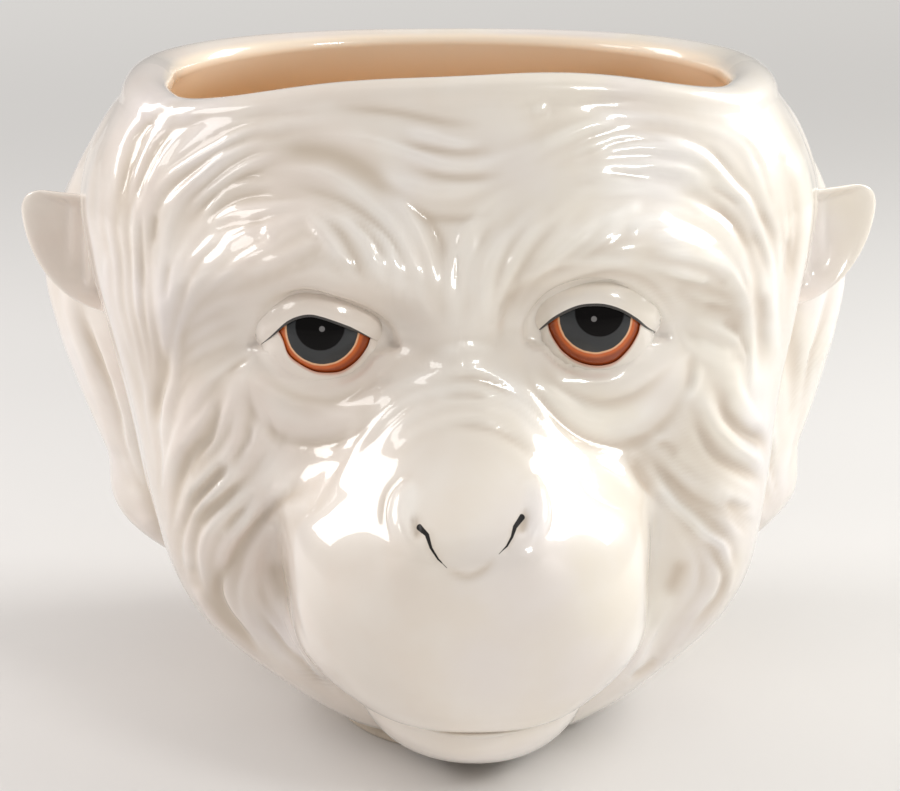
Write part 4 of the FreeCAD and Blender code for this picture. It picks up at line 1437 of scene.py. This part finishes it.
class Shader:
    """One material and the nodes in it."""

    def __init__(self, name):
        self.material = bpy.data.materials.new(name)
        self.material.use_nodes = True
        self.tree = self.material.node_tree
        self.surface = next(node for node in self.tree.nodes if node.type == "BSDF_PRINCIPLED")

    @staticmethod
    def plug(tree, value, socket):
        if isinstance(value, Wire):
            tree.links.new(value.socket, socket)
        else:
            socket.default_value = value

    def node(self, kind, settings=(), inputs=(), output=0):
        node = self.tree.nodes.new(kind)
        for key, value in dict(settings).items():
            setattr(node, key, value)
        for key, value in dict(inputs).items():
            Shader.plug(self.tree, value, node.inputs[key])
        return Wire(self.tree, node.outputs[output])

    def place(self):
        """Where the point lies, in metres."""
        return self.node("ShaderNodeTexCoord", output="Object")

    def parts(self, vector):
        """A vector's x, y and z."""
        split = self.tree.nodes.new("ShaderNodeSeparateXYZ")
        self.tree.links.new(vector.socket, split.inputs[0])
        return [Wire(self.tree, socket) for socket in split.outputs]

    def mark(self, name):
        return self.node("ShaderNodeAttribute", {"attribute_name": name}, output="Fac")

    def noise(self, vector, size, detail=2.0):
        settings = {"Vector": vector, "Scale": 1 / size, "Detail": detail, "Roughness": 0.5}
        return self.node("ShaderNodeTexNoise", (), settings)

    def mix(self, share, first, second):
        """A colour between two, by share."""
        node = self.tree.nodes.new("ShaderNodeMix")
        node.data_type = "RGBA"
        sockets = [socket for socket in node.inputs if socket.enabled]
        for value, socket in zip((share, first, second), sockets):
            Shader.plug(self.tree, value, socket)
        return Wire(self.tree, next(socket for socket in node.outputs if socket.enabled))

    def vector(self, operation, first, second, output=0):
        node = self.tree.nodes.new("ShaderNodeVectorMath")
        node.operation = operation
        for place, value in enumerate((first, second)):
            Shader.plug(self.tree, value, node.inputs[3 if operation == "SCALE" and place else place])
        return Wire(self.tree, node.outputs[output])

    def line(self, vector, points, widths):
        """How far inside a painted line a point lies, in metres. Widths are half the brush's own."""
        inside = None
        for start, end, wide, narrow in zip(points[:-1], points[1:], widths[:-1], widths[1:]):
            run = end - start
            offset = self.vector("SUBTRACT", vector, tuple(start))
            share = self.vector("DOT_PRODUCT", offset, tuple(run / (run @ run)), 1)
            share = share.math("ADD", 0.0, clamp=True)
            base = self.vector("SCALE", self.steady(run), share)
            gap = self.vector("DISTANCE", offset, base, 1)
            here = share * (narrow - wide) + wide - gap
            inside = here if inside is None else inside.math("MAXIMUM", here)
        return inside

    def steady(self, value):
        """A fixed direction as a wire."""
        node = self.tree.nodes.new("ShaderNodeCombineXYZ")
        for place, part in enumerate(value):
            node.inputs[place].default_value = part
        return Wire(self.tree, node.outputs[0])

    def set(self, **values):
        for key, value in values.items():
            Shader.plug(self.tree, value, self.surface.inputs[key.replace("_", " ")])

    def bump(self, height, distance):
        bump = self.node("ShaderNodeBump", (), {"Height": height, "Distance": distance, "Strength": 1.0})
        Shader.plug(self.tree, bump, self.surface.inputs["Normal"])


def paint(red, green, blue):
    """A colour as a screen shows it, 0 to 255, in linear light."""
    linear = []
    for value in (red, green, blue):
        linear.append(((value / 255 + 0.055) / 1.055) ** 2.4 if value > 10 else value / 255 / 12.92)
    return (*linear, 1.0)


print("white of the glaze", [round(value, 3) for value in paint(240, 232, 224)])

# %% Glaze
# the glaze is painted rosier and darker as shade left of the first place, and creamier and lighter as light
# right of the second
SHADED_SIDE, LIT_SIDE = -90 * MM, 60 * MM
# inside, the peach is painted light thrown round the well: pale above the first height, and deepening as
# painted shade down to the second
WELL_LIGHT_TOP, WELL_SHADE_FULL = 265 * MM, 215 * MM


def glaze(shader):
    """The pearl glaze as a colour."""
    vector = shader.place()
    x, y, z = shader.parts(vector)
    pooled_glaze_and_shade = shader.mark("hollow").between(-0.6, 1.2)
    indoors = shader.mark("indoors")
    cloud = shader.noise(vector, 35 * MM, 3.0).between(0.35, 0.65)
    # painted light and shade: the left side rosy and darker, the right creamy and lighter
    rosy_shade = shader.mix(cloud, paint(240, 228, 219), paint(244, 236, 228))
    creamy_light = shader.mix(cloud, paint(247, 240, 228), paint(250, 245, 238))
    white = shader.mix(x.between(SHADED_SIDE, LIT_SIDE), rosy_shade, creamy_light)
    # painted sheen: lilac patches that stand in for the pearl glaze's lustre
    painted_sheen = shader.noise(vector, 70 * MM, 1.0).between(0.5, 0.68)
    white = shader.mix(painted_sheen * 0.4, white, paint(234, 226, 229))
    # darker in the grooves: partly the glaze pooling there, partly painted shade
    outside = shader.mix(pooled_glaze_and_shade, white, paint(214, 199, 182))
    # painted light and shade inside the pot: warm peach thrown round the well, deeper lower down
    peach_well_light = shader.mix(z.between(WELL_LIGHT_TOP, WELL_SHADE_FULL), paint(252, 238, 218), paint(247, 208, 152))
    shader.set(Roughness=0.3, Coat_Weight=1.0, Coat_Roughness=0.03, IOR=1.45)
    return shader.mix(indoors, outside, peach_well_light)


plain_glaze = Shader("pearl glaze")
plain_glaze.set(Base_Color=glaze(plain_glaze))
for piece in (jaw, *ears):
    piece.data.materials.append(plain_glaze.material)

lid_glaze = Shader("pearl glaze with lash lines")
black = lid_glaze.mark("lash").between(-0.25, 0.35)
stained = lid_glaze.mix(lid_glaze.mark("stain") * 0.8, glaze(lid_glaze), paint(196, 106, 54))
lid_glaze.set(Base_Color=lid_glaze.mix(black, stained, paint(32, 26, 24)))
for piece in lids:
    piece.data.materials.append(lid_glaze.material)

# %% [markdown]
# The nostrils are drawn with one black brush stroke each. Their points are read off the photograph, and a
# ray from the camera through each one finds the clay under the brush.

# %% Nostrils
skin_tree = BVHTree.FromObject(head, bpy.context.evaluated_depsgraph_get())


def on_skin(place):
    ray = ray_through(np.array([place], dtype=float))[0]
    hit = skin_tree.ray_cast(Vector(eye_point), Vector(ray))
    return np.array(hit[0])


head_glaze = Shader("pearl glaze with nostrils")
vector = head_glaze.place()
# half the brush's width at each point, pressed hard first and lifted at the end
brush = (1.15 * MM, 0.8 * MM, 0.5 * MM, 0.35 * MM, 0.1 * MM)
painted = [[on_skin(place) for place in line] for line in NOSTRIL_LINES]
left_stroke, right_stroke = (head_glaze.line(vector, points, brush) for points in painted)
black = left_stroke.math("MAXIMUM", right_stroke).between(-0.12 * MM, 0.12 * MM)
head_glaze.set(Base_Color=head_glaze.mix(black, glaze(head_glaze), paint(26, 21, 20)))
head_glaze.set(Coat_Weight=1 - black, Roughness=0.3)
head.data.materials.append(head_glaze.material)
print("nostril strokes start at", [on_skin(line[0]).round(3) for line in NOSTRIL_LINES])

# %% [markdown]
# The painted eye is a set of rings about the middle of the iris: a black pupil, a slate iris, then peach,
# orange and a brown edge. A grey dot in the pupil is a painted reflection, the catch-light of the room.

# %% Eye paint
IRIS_MIDDLES = {"left": (322.5, 330), "right": (595.5, 318)}
PUPIL_MIDDLES = {"left": (320, 326), "right": (600, 312)}
CATCH_LIGHTS = {"left": (322, 329), "right": (594, 319)}
# each ring goes over the last: the radii where it begins and where it is whole, and its paint
GROUND = paint(206, 100, 40)
RINGS = (
    (15.6 * MM, 17.6 * MM, paint(150, 66, 26)),
    (15.3 * MM, 14.4 * MM, paint(240, 190, 148)),
    (14.3 * MM, 13.9 * MM, paint(46, 48, 50)),
)
PUPIL, CATCH_LIGHT = (9.8 * MM, 9.2 * MM), (1.25 * MM, 0.9 * MM)


def eye_paint(word, side):
    shader = Shader(f"{word} eye paint")
    vector = shader.place()

    def from_spot(place):
        spot = on_ball(np.array([place], dtype=float), side, BALL)[0]
        return shader.vector("DISTANCE", vector, tuple(spot), 1)

    ring = from_spot(IRIS_MIDDLES[word]) + (shader.noise(vector, 4 * MM) - 0.5) * (0.5 * MM)
    colour = GROUND
    for begins, whole, tint in RINGS:
        colour = shader.mix(ring.between(begins, whole), colour, tint)
    pupil = from_spot(PUPIL_MIDDLES[word]).between(*PUPIL)
    colour = shader.mix(pupil, colour, paint(9, 7, 7))
    # painted reflection: a grey catch-light in the pupil
    catch_light = from_spot(CATCH_LIGHTS[word]).between(*CATCH_LIGHT)
    colour = shader.mix(catch_light, colour, paint(120, 118, 118))
    shader.set(Base_Color=colour, Roughness=0.12, Coat_Weight=0.7 - 0.65 * pupil, Coat_Roughness=0.04)
    shader.set(Specular_IOR_Level=0.1)
    return shader.material


for piece, (word, side) in zip(eyeballs, (("left", -1), ("right", 1))):
    piece.data.materials.append(eye_paint(word, side))

bare = Shader("bare clay")
grain = bare.noise(bare.place(), 1.5 * MM, 3.0)
bare.set(Base_Color=bare.mix(grain, paint(226, 214, 198), paint(205, 190, 172)), Roughness=0.85)
bare.bump(grain, 0.2 * MM)
foot.data.materials.append(bare.material)
print("materials:", ", ".join(material.name for material in bpy.data.materials))

# %% [markdown]
# ## Floor and light
# The pot stands on pale card in a bright room: a large soft lamp and a small one on each side, which show
# as bright shapes on the brow and the muzzle, and a wide one above.

# %% Stage
select_nothing()
bpy.ops.mesh.primitive_plane_add(size=24)
floor = bpy.context.object
floor.name = "floor"
card = Shader("pale card")
x, y, z = card.parts(card.place())
# painted light: further out from the pot the card glows; near it the card is a little darker to the right
far = ((x * x + y * y) ** 0.5).between(0.5, 2.6)
near = card.mix(x.between(-0.6, 0.6), paint(229, 227, 226), paint(221, 219, 217))
card.set(Base_Color=near, Roughness=0.8, Emission_Strength=1.0)
card.set(Emission_Color=card.mix(far, (0.0, 0.0, 0.0, 1.0), (0.31, 0.305, 0.295, 1.0)))
floor.data.materials.append(card.material)

world = bpy.data.worlds.new("room")
world.use_nodes = True
room = world.node_tree.nodes["Background"]
room.inputs["Color"].default_value = paint(236, 234, 231)
room.inputs["Strength"].default_value = 0.5
bpy.context.scene.world = world
bpy.context.scene.view_settings.view_transform = "Standard"

LAMP_AIM = (0, 0, 0.15)
WARM, PALE, WHITE = (1, 0.975, 0.955), (1, 1, 0.98), (1, 1, 1)


def soft_lamp(name, place, width, height, power, colour):
    data = bpy.data.lights.new(name, "AREA")
    data.shape = "RECTANGLE"
    data.size, data.size_y, data.energy, data.color = width, height, power, colour
    lamp = bpy.data.objects.new(name, data)
    bpy.context.scene.collection.objects.link(lamp)
    lamp.location = place
    lamp.rotation_euler = (Vector(LAMP_AIM) - Vector(place)).to_track_quat("-Z", "Y").to_euler()


soft_lamp("left window", (-1.15, 0.31, 0.8), 0.58, 0.75, 8.6, WARM)
soft_lamp("left front window", (-1.02, -0.46, 0.8), 0.4, 0.32, 1.9, WARM)
soft_lamp("right window", (1.18, 0.36, 0.84), 0.62, 0.8, 14.5, PALE)
soft_lamp("right front window", (0.68, -0.95, 0.82), 0.28, 0.26, 4.0, PALE)
soft_lamp("ceiling", (0.15, -0.35, 1.7), 1.3, 1.0, 1.6, WHITE)
print("lamps set")
